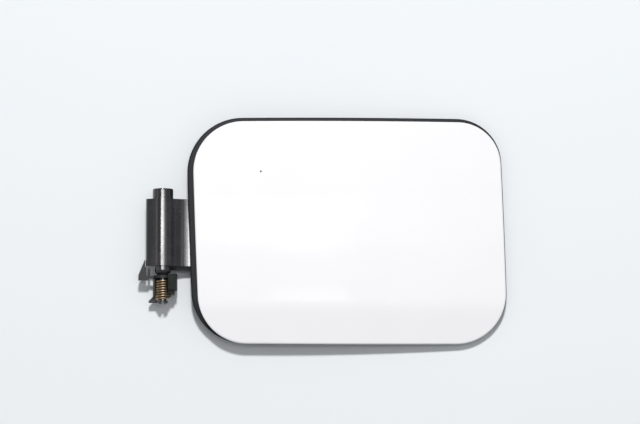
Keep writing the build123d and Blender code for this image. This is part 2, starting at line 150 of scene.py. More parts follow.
class HingeShape(bpy.types.PropertyGroup):
    """Arm, spring and bracket on the hinge axis."""

    pivot_radius: length("Pivot radius", "Upper pivot pin", 6.05)
    pivot_length: length("Pivot length", "Upper pivot pin", 6.0)
    pivot_rounding: length("Pivot rounding", "Edge of the pin's end", 0.8)
    barrel_radius: length("Barrel radius", "Barrel of the arm", 6.6)
    barrel_length: length("Barrel length", "Barrel of the arm", 39.4)
    barrel_rounding: length("Barrel rounding", "Edges of barrel and cone", 0.3)
    cone_root: length("Cone root", "Cone radius at the barrel", 4.888)
    cone_tip: length("Cone tip", "Cone radius at the bearing ear", 3.5)
    cone_length: length("Cone length", "Length of the cone", 5.3)
    stub_radius: length("Stub radius", "Stub that runs in the bracket", 2.2)
    head_radius: length("Head radius", "Split head that holds the spring", 3.1)
    head_length: length("Head length", "Split head that holds the spring", 1.7)
    head_chamfer: length("Head chamfer", "Lead-in of the split head", 0.7)
    cove_reach: length("Cove reach", "Line where the swept plate turns level", 15.75)
    plate_thickness: length("Plate thickness", "Wall of the swept plate", 4.0)
    skirt_reach: length("Skirt reach", "Edge of the skirt from the axis", 10.0)
    skirt_angle: angle("Skirt angle", "Slope of the skirt", 36.0)
    skirt_thickness: length("Skirt thickness", "Wall of the skirt", 2.2)
    skirt_rounding: length("Skirt rounding", "Roll of the skirt's edge", 3.2)
    web_belly: length("Web belly", "Level stretch under each of the arm's webs", 12.0)
    web_rounding: length("Web rounding", "Ends of the level stretch", 3.0)
    web_width: length("Web width", "Thickness of each of the arm's webs", 3.0)
    web_shelf: length("Web shelf", "Width of each shelf on the stepped web", 1.26)
    web_step: length("Web step", "Fall of each shelf", 0.8)
    web_break: length("Web break", "Drop between the shelves", 0.32)
    foot_start: length("Foot start", "Near end of the foot", 29.9)
    foot_end: length("Foot end", "Far end of the foot", 63.0)
    foot_width: length("Foot width", "Width of the foot's far end", 52.0)
    foot_corner: length("Foot corner", "Rounding of the foot's far end", 6.0)
    foot_seat: length("Foot seat", "Height of the foot's upper face", -0.9)
    wire: length("Spring wire", "Diameter of the spring's wire", 1.25)
    coil_radius: length("Coil radius", "Middle of the wire from the axis", 3.675)
    coil_pitch: length("Coil pitch", "Distance from turn to turn", 1.45)
    coil_turns: count("Turns", "Turns of the spring", 8, 1)
    leg_length: length("Leg length", "Straight leg in the bracket's guard", 7.2)
    spring_play: length("Spring play", "Gap at each end of the coil", 0.25)
    tang_play: length("Tang play", "Gap on each side of the spring's tang", 0.05)
    bracket_rounding: length("Bracket rounding", "Edges of the bracket", 0.18)
    ear_thickness: length("Ear thickness", "Bearing ear of the bracket", 1.6)
    ear_gap: length("Ear gap", "Gap between cone and ear", 0.3)
    ear_margin: length("Ear margin", "Wall of the ear round its bore", 3.2)
    cradle_radius: length("Cradle radius", "Room for the coil in the bracket", 4.7)
    cradle_floor: length("Cradle floor", "Floor under the coil", 2.2)
    cradle_wall: length("Cradle wall", "Thin wall on the coil's outer side", 0.95)
    cradle_wall_top: length("Cradle wall top", "Upper edge of the thin wall", 1.0)
    cradle_length: length("Cradle length", "Cradle below the ear", 10.4)
    guard_wall: length("Guard wall", "Wall of the guard beside the coil", 3.6)
    guard_top: length("Guard top", "Upper face of the guard", 5.2)
    guard_slope: angle("Guard slope", "Fall of the guard's upper face towards the door", 24.0)
    guard_lip: length("Guard lip", "Inner edge of the guard from the axis", 3.3)
    guard_start: length("Guard start", "How far the guard stands over the ear", 1.0)
    guard_length: length("Guard length", "Full-height stretch of the guard", 9.5)
    guard_step: length("Guard step", "Drop at the guard's lower end", 1.4)
    guard_step_length: length("Guard step length", "Lower end of the guard", 2.5)
    fin_gap: length("Fin gap", "Gap between fin and barrel", 0.35)
    fin_reach: length("Fin reach", "Outer edge of the fin from the axis", 14.3)
    fin_length: length("Fin length", "Fin above the ear", 9.2)
    fin_drop: length("Fin drop", "Fin below the ear", 1.1)
    fin_tip: length("Fin tip", "Blunt tip of the fin", 0.25)
    fin_top: length("Fin top", "Upper face of the fin", 0.4)
    fin_thickness: length("Fin thickness", "Thickness of the fin", 2.6)
    web_thickness: length("Web thickness", "Web beside the fin", 1.4)
    web_reach: length("Web reach", "Place of the web from the axis", 8.9)
    web_gap: length("Web gap", "Slit between fin and web", 0.8)
    web_drop: length("Web drop", "Web below the fin's face", 1.0)
    toe_reach: length("Toe reach", "Outer corner of the toe from the axis", 8.3)
    toe_length: length("Toe length", "Toe past the cradle", 3.6)
    toe_side: length("Toe side", "Straight stretch of the toe's outer side", 1.0)
    toe_top: length("Toe top", "Upper face of the toe", -3.0)


class FittingShape(bpy.types.PropertyGroup):
    """Ribs, seats, screws and the small pieces on the hidden side."""

    rib_width: length("Rib width", "Thickness of each rib", 1.6)
    rib_seat: length("Rib edge", "Height of the ribs' free edge", -6.0)
    rib_low: lengths("Rib start", "Left and lower line of the rib field", 74.0, -60.0, 0.0)
    rib_high: lengths("Rib end", "Right and upper line of the rib field", 158.0, 28.0, 0.0)
    rib_columns: count("Rib columns", "Ribs along the hinge axis", 5, 2)
    rib_rows: count("Rib rows", "Ribs across the hinge axis", 4, 2)
    seat_margin: length("Seat margin", "Seat round each screwed piece", 2.0)
    edge_rounding: length("Edge rounding", "Edges of seats, striker and hanger", 0.3)
    plate_corner: length("Plate corner", "Corner radius of striker and hanger plate", 3.0)
    screw_radius: length("Screw radius", "Shank of each screw", 1.5)
    screw_bite: length("Screw bite", "Thread in the inner panel", 2.8)
    head_radius: length("Screw head", "Radius of each head", 3.3)
    head_height: length("Screw head height", "Height of each head", 2.3)
    head_rounding: length("Screw head rounding", "Edge of each head", 0.9)
    recess_radius: length("Screw recess", "Middle radius of the lobed drive", 1.35)
    recess_depth: length("Recess depth", "Depth of the lobed drive", 1.3)
    recess_chamfer: length("Recess chamfer", "Depth of the drive's widened mouth", 0.12)
    arm_pitch: lengths("Arm screws", "Pitch of the arm's screws along X and Y", 20.0, 36.0)
    stop_x: length("Stop X", "Place of both bump stops", 172.0)
    stop_y: lengths("Stop Y", "Places of the upper and the lower stop", 17.0, -57.0)
    stop_seat: length("Stop seat", "Height of the stops' seats", -7.2)
    stop_base: length("Stop base", "Radius of the stop's flange", 5.5)
    stop_base_height: length("Stop base height", "Thickness of the stop's flange", 1.5)
    stop_radius: length("Stop radius", "Root of the stop's cone", 4.2)
    stop_tip: length("Stop tip", "Tip of the stop's cone", 2.6)
    stop_rounding: length("Stop rounding", "Edges of the stop", 0.35)
    striker: lengths("Striker", "Middle of the striker and height of its seat", 168.0, -20.0, -5.9)
    striker_size: lengths("Striker size", "Its plate along X, Y and Z", 17.0, 34.0, 2.0)
    striker_pitch: length("Striker screws", "Pitch of its screws", 24.0)
    hook_width: length("Hook width", "Hook along Y", 14.0)
    hook_wall: length("Hook wall", "Wall of the hook", 2.4)
    hook_drop: length("Hook drop", "Hook below the plate", 4.2)
    hook_lip: length("Hook lip", "Reach of the hook's lip", 3.6)
    hook_lip_thickness: length("Hook lip thickness", "Thickness of the lip", 1.5)
    hanger: lengths("Hanger", "Middle of the cap hanger and height of its seat", 122.0, -16.0, -1.9)
    hanger_size: lengths("Hanger size", "Its plate along X, Y and Z", 14.0, 38.0, 2.2)
    hanger_pitch: length("Hanger screws", "Pitch of its screws", 28.0)
    hanger_gap: length("Hanger gap", "Room for the cap's strap", 5.0)
    hanger_arm: length("Hanger arm", "Thickness of its arm", 2.6)
    hanger_arm_length: length("Hanger arm length", "Length of its arm", 16.0)
    hanger_lip: length("Hanger lip", "Height of its lip", 1.6)


class DoorFinish(bpy.types.PropertyGroup):
    """Colours of the finishes."""

    paint: colour("Paint", "White paint of the skin", 0.9, 0.895, 0.912)
    chip: colour("Chip", "Bare spot in the paint", 0.07, 0.065, 0.06)
    gloss_black: colour("Gloss black", "Moulded hinge arm", 0.019, 0.0185, 0.021)
    matt_black: colour("Matt black", "Inner panel and its fittings", 0.03, 0.03, 0.031)
    green_black: colour("Green black", "Pivot bracket", 0.008, 0.0105, 0.0092)
    rubber: colour("Rubber", "Seal lip and bump stops", 0.017, 0.018, 0.021)
    bronze: colour("Bronze", "Spring wire", 0.33, 0.25, 0.165)
    zinc: colour("Zinc", "Screws", 0.6, 0.6, 0.58)
    chip_place: lengths("Chip place", "Place of the bare spot", 57.4, 12.8)
    chip_radius: length("Chip radius", "Size of the bare spot", 0.55)


class Studio(bpy.types.PropertyGroup):
    """Floor, lamps and camera."""

    floor_colour: colour("Floor", "Pale table", 0.822, 0.853, 0.878)
    floor_size: length("Floor size", "Side of the floor", 6000.0)
    sky: colour("Sky", "Colour of the surrounding light", 0.97, 0.985, 1.0)
    fill: amount("Fill", "Strength of the surrounding light", 0.31)
    key_power: amount("Key", "Power of the lamp above the door", 44.5)
    key_distance: length("Key distance", "From the door to the lamp", 2500.0)
    key_tilt: angle("Key tilt", "Lean of the lamp towards the top of the picture", 25.0)
    key_size: length("Key size", "Side of the lamp", 220.0)
    strip_power: amount("Strip", "Power of the overhead strip", 4.7)
    strip: lengths("Strip place", "Middle of the strip", -162.0, 110.0, 1600.0)
    strip_size: lengths("Strip size", "Strip across and up the picture", 716.0, 110.0)
    fade_width: length("Fade width", "Each dimmer panel at the strip's end", 270.0)
    side_power: amount("Side", "Power of the weak lamp beside the hinge", 1.5)
    side_tilt: angle("Side tilt", "Lean of the side lamp from the vertical", 64.0)
    side_shift: length("Side shift", "Side lamp up the picture", 200.0)
    side_size: length("Side size", "Side of the side lamp", 800.0)
    glint: lengths("Glint", "Small lamp that glints on the face", 170.0, 61.0)
    glint_size: lengths("Glint size", "That lamp across and up the picture", 190.0, 44.0)
    glint_low: lengths("Lower glint", "Small lamp that glints on the crease", 170.0, -85.0)
    glint_low_size: lengths("Lower glint size", "That lamp across and up the picture", 190.0, 80.0)
    glint_radiance: amount("Glint radiance", "Brightness of the small lamps", 16.0)
    target: lengths("Target", "Middle of the picture", 92.0, -10.6, 0.0)
    camera_distance: length("Camera distance", "From the door to the lens", 2500.0)
    camera_tilt: angle("Camera tilt", "Lean of the view towards the bottom of the picture", 5.0)
    view_width: length("View width", "Width of the picture at the door", 375.0)


class FuelDoor(bpy.types.PropertyGroup):
    """All settings of the door."""

    door: PointerProperty(type=DoorShape)
    hinge: PointerProperty(type=HingeShape)
    fitting: PointerProperty(type=FittingShape)
    finish: PointerProperty(type=DoorFinish)
    studio: PointerProperty(type=Studio)


def settings():
    """The door's settings."""
    return bpy.context.scene.fuel_door


# Mesh tools

corner_steps = 24
wide_steps = 104
tall_steps = 72


def add_object(name, data):
    """A new object in the scene."""
    item = bpy.data.objects.new(name, data)
    bpy.context.scene.collection.objects.link(item)
    return item


class Shell:
    """Gathers rings of points into one mesh of closed forms."""

    def __init__(self):
        self.work = bmesh.new()

    def ring(self, points):
        """New vertices at these points."""
        return [self.work.verts.new(point) for point in points]

    def bridge(self, rings):
        """Quads from each closed ring to the next one, all of the same length."""
        for first, second in zip(rings, rings[1:]):
            for i in range(len(first)):
                self.work.faces.new((first[i - 1], first[i], second[i], second[i - 1]))

    def loft(self, loops):
        """A closed form through a list of point loops."""
        rings = [self.ring(loop) for loop in loops]
        self.bridge(rings)
        self.work.faces.new(rings[0][::-1])
        self.work.faces.new(rings[-1])

    def prism(self, outline, place, low, high):
        """A closed form from a level up to another, which is a number or a rule for the outline's points."""
        lower = [place(a, b, low) for a, b in outline]
        upper = [place(a, b, high(a, b) if callable(high) else high) for a, b in outline]
        self.loft([lower, upper])

    def turned(self, profile, place, sides=96):
        """A closed form of revolution; place puts a radius, an angle and a station in space."""
        turns = full_turn(sides)
        rings = []
        for radius, station in profile:
            around = turns if radius else turns[:1]
            rings.append(self.ring([place(radius, turn, station) for turn in around]))
        for first, second in zip(rings, rings[1:]):
            if len(first) == len(second):
                self.bridge([first, second])
            else:
                pole, rim = sorted((first, second), key=len)
                for i in range(sides):
                    self.work.faces.new((pole[0], rim[i - 1], rim[i]))

    def patch(self, loop, level):
        """Quads inside a ring of the door's plan; level gives the height at x, y."""
        across, along = corner_steps + wide_steps, corner_steps + tall_steps
        corners = [loop[i].co for i in (0, across, across + along, 2 * across + along)]
        grid = [loop[: across + 1]]
        for j in range(1, along):
            v = j / along
            left, right = loop[-j], loop[across + j]
            row = [left]
            for i in range(1, across):
                u = i / across
                low, high = loop[i], loop[2 * across + along - i]
                flat = low.co * (1 - v) + high.co * v + left.co * (1 - u) + right.co * u
                flat -= corners[0] * (1 - u) * (1 - v) + corners[1] * u * (1 - v)
                flat -= corners[2] * u * v + corners[3] * (1 - u) * v
                row.append(self.work.verts.new((flat.x, flat.y, level(flat.x, flat.y))))
            grid.append([*row, right])
        grid.append(loop[across + along : 2 * across + along + 1][::-1])
        for low_row, high_row in zip(grid, grid[1:]):
            for i in range(across):
                self.work.faces.new((low_row[i], low_row[i + 1], high_row[i + 1], high_row[i]))

    def make(self, name, finish, bevel=0.0, sharp=35.0):
        """The finished object, with smooth faces, sharp folds and, if asked, rounded edges."""
        bmesh.ops.recalc_face_normals(self.work, faces=self.work.faces)
        mesh = bpy.data.meshes.new(name)
        self.work.to_mesh(mesh)
        self.work.free()
        mesh.materials.append(material(finish))
        mesh.shade_smooth()
        mesh.set_sharp_from_angle(angle=radians(sharp))
        piece = add_object(name, mesh)
        if bevel:
            rounding = piece.modifiers.new("Rounded edges", "BEVEL")
            rounding.width = bevel
            rounding.segments = 3
            rounding.limit_method = "ANGLE"
            rounding.angle_limit = radians(sharp)
            rounding.harden_normals = True
        return piece


def in_plan(a, b, level):
    """Plan point at a height."""
    return (a, b, level)


def in_section(a, b, station):
    """Point of a section across the hinge axis."""
    return (a, station, b)


def along_hinge(radius, turn, station):
    """Point round the hinge axis."""
    return (radius * sin(turn), station, radius * cos(turn))


def upright(radius, turn, level):
    """Point round a vertical axis."""
    return (radius * cos(turn), radius * sin(turn), level)


def full_turn(sides):
    """Angles once round."""
    return [2 * pi * i / sides for i in range(sides)]


def quarter_turn(steps):
    """Angles from nothing to a right angle."""
    return [pi / 2 * i / steps for i in range(steps + 1)]


def arc(centre, radius, start, end, steps):
    """Points on an arc, from one angle to the other."""
    turns = [start + (end - start) * i / steps for i in range(steps + 1)]
    return [(centre[0] + radius * cos(turn), centre[1] + radius * sin(turn)) for turn in turns]


def round_corner(corners, i, radius, steps):
    """Centre of a rounded corner, how far the rounding reaches along its sides, and its outward normals."""
    here = corners[i]
    back = (corners[i - 1] - here).normalized()
    ahead = (corners[(i + 1) % len(corners)] - here).normalized()
    half = back.angle(ahead) / 2
    reach = radius / tan(half)
    centre = here + (back + ahead).normalized() * radius / sin(half)
    first, last = ((here + side * reach - centre).normalized() for side in (back, ahead))
    return centre, reach, [first.slerp(last, step / steps) for step in range(steps + 1)]


def rounded(corners, radius, steps=6):
    """A polygon with all its corners rounded by one radius."""
    corners = [Vector(corner) for corner in corners]
    points = []
    for i in range(len(corners)):
        centre, _, normals = round_corner(corners, i, radius, steps)
        points += [tuple(centre + normal * radius) for normal in normals]
    return points


def rectangle(left, right, low, high):
    """Corners of a rectangle."""
    return [(left, low), (right, low), (right, high), (left, high)]


def plate_plan(place, size, corner, margin=0.0):
    """A rounded rectangle about a place, grown by a margin."""
    (x, y, _), wide, tall = place, size[0] / 2 + margin, size[1] / 2 + margin
    return rounded(rectangle(x - wide, x + wide, y - tall, y + tall), corner + margin)


# The door's plan and crown


def crown_level(door, x, y, depth=0.0):
    """Height of the crowned and creased face at x, y, that far under the paint."""
    crown_x, crown_y, crown_z = door.crown
    across = y - crown_y
    run = door.crease_y - crown_y
    ball = sqrt((door.crown_radius - depth) ** 2 - across**2)
    fold = sqrt(door.crown_radius**2 - run**2) - depth * cos(door.crease_angle)
    strip = fold + (across - run - depth * sin(door.crease_angle)) * tan(door.crease_angle)
    soft = max(door.crease_blend - abs(ball - strip), 0.0) / door.crease_blend
    reach = min(ball, strip) - soft**2 * door.crease_blend / 4
    return crown_z - door.crown_radius + sqrt(reach**2 - (x - crown_x) ** 2)


def door_loop(door, left=0.0, top=0.0, right=0.0, bottom=0.0):
    """Plan points with outward normals, anticlockwise from the middle of the lower hinge corner."""
    lean = tan(door.lean)
    near, far = door.sides[0] - left, door.sides[1] + right
    low, high = door.ends[0] - bottom, door.ends[1] + top
    corners = [Vector((x - y * lean, y)) for x, y in rectangle(near, far, low, high)]
    growths = (left + bottom, right + bottom, right + top, left + top)

    def bowed(share):
        return 4 * door.bow * share * (1 - share)

    arcs = []
    for i, (radius, growth) in enumerate(zip(door.corners, growths)):
        radius += growth / 2
        centre, reach, normals = round_corner(corners, i, radius, corner_steps)
        first, last = (bowed(reach / (corners[k % 4] - corners[i]).length) for k in (i - 1, i + 1))
        bows = [first + (last - first) * step / corner_steps for step in range(corner_steps + 1)]
        arcs.append([(centre + normal * (radius + bow), normal) for normal, bow in zip(normals, bows)])
    loop = []
    for i, steps in enumerate((wide_steps, tall_steps) * 2):
        here, side = corners[i], corners[(i + 1) % 4] - corners[i]
        ends = arcs[i][-1][0], arcs[(i + 1) % 4][0][0]
        start, end = ((place - here).dot(side) / side.length_squared for place in ends)
        normal = arcs[i][-1][1]
        loop += arcs[i]
        for step in range(1, steps):
            share = start + (end - start) * step / steps
            loop.append((here + side * share + normal * bowed(share), normal))
    half_corner = corner_steps // 2
    return loop[half_corner:] + loop[:half_corner]


def loop_at(door, loop, inset, depth, drop=0.0):
    """The plan loop drawn in by an inset, at a depth under the paint, then lowered by a drop."""
    points = []
    for place, normal in loop:
        x, y = place - normal * inset
        points.append((x, y, crown_level(door, x, y, depth) - drop))
    return points


def crowned_layer(name, finish, door, rows):
    """A layer of the door through rows of inset, depth and drop, closed by a crowned face at each end."""
    shell = Shell()
    loop = door_loop(door)
    rings = [shell.ring(loop_at(door, loop, *row)) for row in rows]
    shell.bridge(rings)
    for end in (0, -1):
        shell.patch(rings[end], lambda x, y: crown_level(door, x, y, rows[end][1]))
    return shell.make(name, finish, sharp=50)


# Node tools


def add_node(tree, kind, inputs=None, **options):
    """A node with its options set, and its inputs set to values or linked to sockets."""
    node = tree.nodes.new(kind)
    for label, option in options.items():
        setattr(node, label, option)
    for label, value in (inputs or {}).items():
        if isinstance(value, bpy.types.NodeSocket):
            tree.links.new(value, node.inputs[label])
        else:
            node.inputs[label].default_value = value
    return node


def add_math(tree, operation, *values):
    """The result of a math node."""
    return add_node(tree, "ShaderNodeMath", dict(enumerate(values)), operation=operation).outputs[0]


def add_inputs(tree, inputs):
    """Named inputs, each with a default or the name of a kind that has none; gives their identifiers."""
    kinds = {int: "Int", float: "Float", tuple: "Vector", list: "Color"}
    identifiers = {}
    for label, default in inputs.items():
        kind = default if isinstance(default, str) else kinds[type(default)]
        socket = tree.interface.new_socket(label, in_out="INPUT", socket_type="NodeSocket" + kind)
        if kind != default:
            socket.default_value = default
        identifiers[label] = socket.identifier
    return identifiers


# Shader groups and finishes


def effect_group(name, inputs, *outputs):
    """A shader group with named sockets, its inputs and its outputs; an output is a value or Color."""
    group = bpy.data.node_groups.new(name, "ShaderNodeTree")
    add_inputs(group, {"Vector": (0.0, 0.0, 0.0), **inputs})
    for label in outputs:
        kind = "NodeSocketColor" if label == "Color" else "NodeSocketFloat"
        group.interface.new_socket(label, in_out="OUTPUT", socket_type=kind)
    return group, group.nodes.new("NodeGroupInput").outputs, group.nodes.new("NodeGroupOutput").inputs


def noise(tree, place, scale, detail, roughness=0.55):
    """A noise over a place."""
    inputs = {"Vector": place, "Scale": scale, "Detail": detail, "Roughness": roughness}
    return add_node(tree, "ShaderNodeTexNoise", inputs).outputs["Fac"]


def cells(tree, place, scale):
    """A cell pattern over a place."""
    return add_node(tree, "ShaderNodeTexVoronoi", {"Vector": place, "Scale": scale}).outputs


def smooth_step(tree, value, low, high):
    """A smooth step of a value between two limits."""
    inputs = {"Value": value, "From Min": low, "From Max": high}
    return add_node(tree, "ShaderNodeMapRange", inputs, interpolation_type="SMOOTHSTEP").outputs["Result"]


def mix_colour(tree, factor, first, second):
    """A colour mixed from two colours or sockets by a factor."""
    factor_input, first_input, second_input, colour_output = 0, 6, 7, 2
    inputs = {factor_input: factor}
    for number, value in ((first_input, first), (second_input, second)):
        inputs[number] = value if isinstance(value, bpy.types.NodeSocket) else (*value, 1.0)
    return add_node(tree, "ShaderNodeMix", inputs, data_type="RGBA").outputs[colour_output]


def grain_group(name):
    """Fine spark-eroded texture of a moulded face, as a height."""
    group, start, end = effect_group(name, {"Scale": 1500.0}, "Height")
    place, scale = start["Vector"], start["Scale"]
    height = add_math(group, "ADD", noise(group, place, scale, 4.0), cells(group, place, scale)["Distance"])
    group.links.new(height, end["Height"])
    return group


def wear_group(name):
    """Patchy rubbing and thin scuffs, as a colour and a mask."""
    colours = {"Clean": [0.03, 0.03, 0.03, 1.0], "Worn": [0.12, 0.12, 0.12, 1.0]}
    inputs = {**colours, "Patch Scale": 60.0, "Amount": 0.4}
    group, start, end = effect_group(name, inputs, "Color", "Mask")
    place = start["Vector"]
    patches = noise(group, place, start["Patch Scale"], 5.0, 0.6)
    stretch = {"Vector": place, "Scale": (260.0, 1900.0, 260.0), "Rotation": (0.3, 0.5, 0.9)}
    scuffs = noise(group, add_node(group, "ShaderNodeMapping", stretch).outputs["Vector"], 1.0, 2.0)
    patch_mask = smooth_step(group, patches, 0.42, 0.8)
    scuff_mask = smooth_step(group, scuffs, 0.66, 0.78)
    mask = add_math(group, "MULTIPLY", add_math(group, "MAXIMUM", patch_mask, scuff_mask), start["Amount"])
    group.links.new(mix_colour(group, mask, start["Clean"], start["Worn"]), end["Color"])
    group.links.new(mask, end["Mask"])
    return group


def specks_group(name):
    """Scattered dust specks, as a mask."""
    group, start, end = effect_group(name, {"Scale": 700.0, "Size": 0.1, "Share": 0.06}, "Mask")
    spots = cells(group, start["Vector"], start["Scale"])
    pick = add_node(group, "ShaderNodeSeparateColor", {"Color": spots["Color"]}).outputs["Red"]
    near = add_math(group, "LESS_THAN", spots["Distance"], start["Size"])
    chosen = add_math(group, "LESS_THAN", pick, start["Share"])
    group.links.new(add_math(group, "MULTIPLY", near, chosen), end["Mask"])
    return group


effects = {"Moulded Grain": grain_group, "Handling Wear": wear_group, "Dust Specks": specks_group}


class Finish:
    """A material in the making: its tree, its object coordinates and its main shader."""

    def __init__(self, name, base, roughness, metallic=0.0, **sockets):
        self.material = bpy.data.materials.new(name)
        self.material.use_nodes = True
        self.tree = self.material.node_tree
        self.shader = self.tree.nodes["Principled BSDF"]
        self.place = self.tree.nodes.new("ShaderNodeTexCoord").outputs["Object"]
        self.base = (*base, 1.0)
        sockets.update(Base_Color=self.base, Roughness=roughness, Metallic=metallic)
        for label, value in sockets.items():
            self.shader.inputs[label.replace("_", " ")].default_value = value

    def effect(self, name, inputs):
        """A shared effect, made at its first use and fed with object coordinates."""
        group = bpy.data.node_groups.get(name) or effects[name](name)
        inputs = {"Vector": self.place, **inputs}
        return add_node(self.tree, "ShaderNodeGroup", inputs, node_tree=group).outputs

    def noise(self, scale, detail):
        """A noise over the object."""
        return noise(self.tree, self.place, scale, detail)

    def wear(self, worn, scale, amount):
        """Rubbing of the base colour, as a colour and a mask."""
        inputs = {"Clean": self.base, "Worn": (*worn, 1.0), "Patch Scale": scale, "Amount": amount}
        return self.effect("Handling Wear", inputs)

    def dusty(self, under, dust, scale, size, share):
        """A colour with specks of dust on it."""
        mask = self.effect("Dust Specks", {"Scale": scale, "Size": size, "Share": share})["Mask"]
        return mix_colour(self.tree, mask, under, dust)

    def done(self, tint, roughness=None, relief=None):
        """Links a colour, a roughness (mask, low, high) and a relief (height, strength, distance)."""
        results = {"Base Color": tint}
        if roughness:
            inputs = dict(zip(("Value", "To Min", "To Max"), roughness))
            results["Roughness"] = add_node(self.tree, "ShaderNodeMapRange", inputs).outputs["Result"]
        if relief:
            inputs = dict(zip(("Height", "Strength", "Distance"), relief))
            results["Normal"] = add_node(self.tree, "ShaderNodeBump", inputs).outputs["Normal"]
        for label, output in results.items():
            self.tree.links.new(output, self.shader.inputs[label])
        return self.material


def white_paint(name):
    """Gloss white paint with a faint ripple, dust and one bare spot."""
    finish = settings().finish
    paint = Finish(name, finish.paint, 0.42, Specular_IOR_Level=0.2, Coat_Weight=0.06, Coat_Roughness=0.06)
    tree = paint.tree
    hazy, dull = ([level * share for level in finish.paint] for share in (0.985, 0.82))
    haze = paint.noise(22.0, 4.0)
    shade = mix_colour(tree, smooth_step(tree, haze, 0.3, 0.75), finish.paint, hazy)
    dusty = paint.dusty(shade, dull, scale=260.0, size=0.05, share=0.02)
    x, y = finish.chip_place
    middle = (x, y, crown_level(settings().door, x, y))
    spot = add_node(tree, "ShaderNodeVectorMath", {0: paint.place, 1: middle}, operation="DISTANCE")
    edge = add_math(tree, "MULTIPLY", paint.noise(1800.0, 2.0), 2 * finish.chip_radius)
    bare = add_math(tree, "LESS_THAN", spot.outputs["Value"], edge)
    tint = mix_colour(tree, bare, dusty, finish.chip)
    return paint.done(tint, (haze, 0.36, 0.48), (paint.noise(420.0, 1.0), 0.12, 0.02 * mm))


def gloss_arm(name):
    """Gloss black moulding with light rubbing."""
    arm = Finish(name, settings().finish.gloss_black, 0.2, Specular_IOR_Level=0.75)
    wear = arm.wear((0.075, 0.07, 0.08), scale=90.0, amount=0.35)
    dusty = arm.dusty(wear["Color"], (0.22, 0.21, 0.21), scale=520.0, size=0.1, share=0.05)
    return arm.done(dusty, (wear["Mask"], 0.11, 0.3), (arm.noise(260.0, 2.0), 0.04, 0.02 * mm))


def moulded(name, base, worn, roughness, grain, depth, amount=0.5, shine=0.5):
    """A moulded plastic or rubber with grain, rubbing and dust."""
    finish = Finish(name, base, roughness, Specular_IOR_Level=shine)
    wear = finish.wear(worn, scale=70.0, amount=amount)
    dusty = finish.dusty(wear["Color"], (0.2, 0.2, 0.19), scale=620.0, size=0.12, share=0.05)
    height = finish.effect("Moulded Grain", {"Scale": grain})["Height"]
    return finish.done(dusty, (wear["Mask"], roughness, roughness + 0.2), (height, 0.6, depth))


def grained_black(name):
    """Grained black moulding of the hidden side."""
    base, worn = settings().finish.matt_black, (0.075, 0.075, 0.075)
    return moulded(name, base, worn, roughness=0.5, grain=1400.0, depth=0.04 * mm)


def bracket_black(name):
    """Matt greenish-black moulding of the bracket."""
    base, worn = settings().finish.green_black, (0.028, 0.034, 0.03)
    return moulded(name, base, worn, roughness=0.46, grain=2600.0, depth=0.02 * mm, shine=0.3)


def soft_rubber(name):
    """Satin black rubber."""
    base, worn = settings().finish.rubber, (0.03, 0.03, 0.032)
    return moulded(name, base, worn, roughness=0.5, grain=2200.0, depth=0.015 * mm, amount=0.45, shine=0.15)


def metal(name, base, dull, roughness):
    """A plated metal with darker patches and fine streaks."""
    finish = Finish(name, base, roughness, metallic=1.0)
    wear = finish.wear(dull, scale=420.0, amount=0.8)
    streaks = finish.noise(3000.0, 2.0)
    return finish.done(wear["Color"], (wear["Mask"], roughness, roughness + 0.22), (streaks, 0.2, 0.01 * mm))


def bronze_wire(name):
    """Bronze-tinted spring wire."""
    return metal(name, settings().finish.bronze, dull=(0.14, 0.09, 0.05), roughness=0.36)


def zinc_screw(name):
    """Zinc-plated steel."""
    return metal(name, settings().finish.zinc, dull=(0.33, 0.32, 0.29), roughness=0.3)


def table_top(name):
    """Plain pale table."""
    base = settings().studio.floor_colour
    finish = Finish(name, base, 0.6, Specular_IOR_Level=0.2)
    shade = [level * 0.985 for level in base]
    return finish.done(mix_colour(finish.tree, finish.noise(2.0, 2.0), base, shade))


finishes = {
    "White paint": white_paint,
    "Gloss black": gloss_arm,
    "Grained black": grained_black,
    "Bracket black": bracket_black,
    "Soft rubber": soft_rubber,
    "Bronze wire": bronze_wire,
    "Zinc screw": zinc_screw,
    "Table top": table_top,
}


def material(name):
    """A finish by name, made at its first use."""
    return bpy.data.materials.get(name) or finishes[name](name)


# Geometry node trees


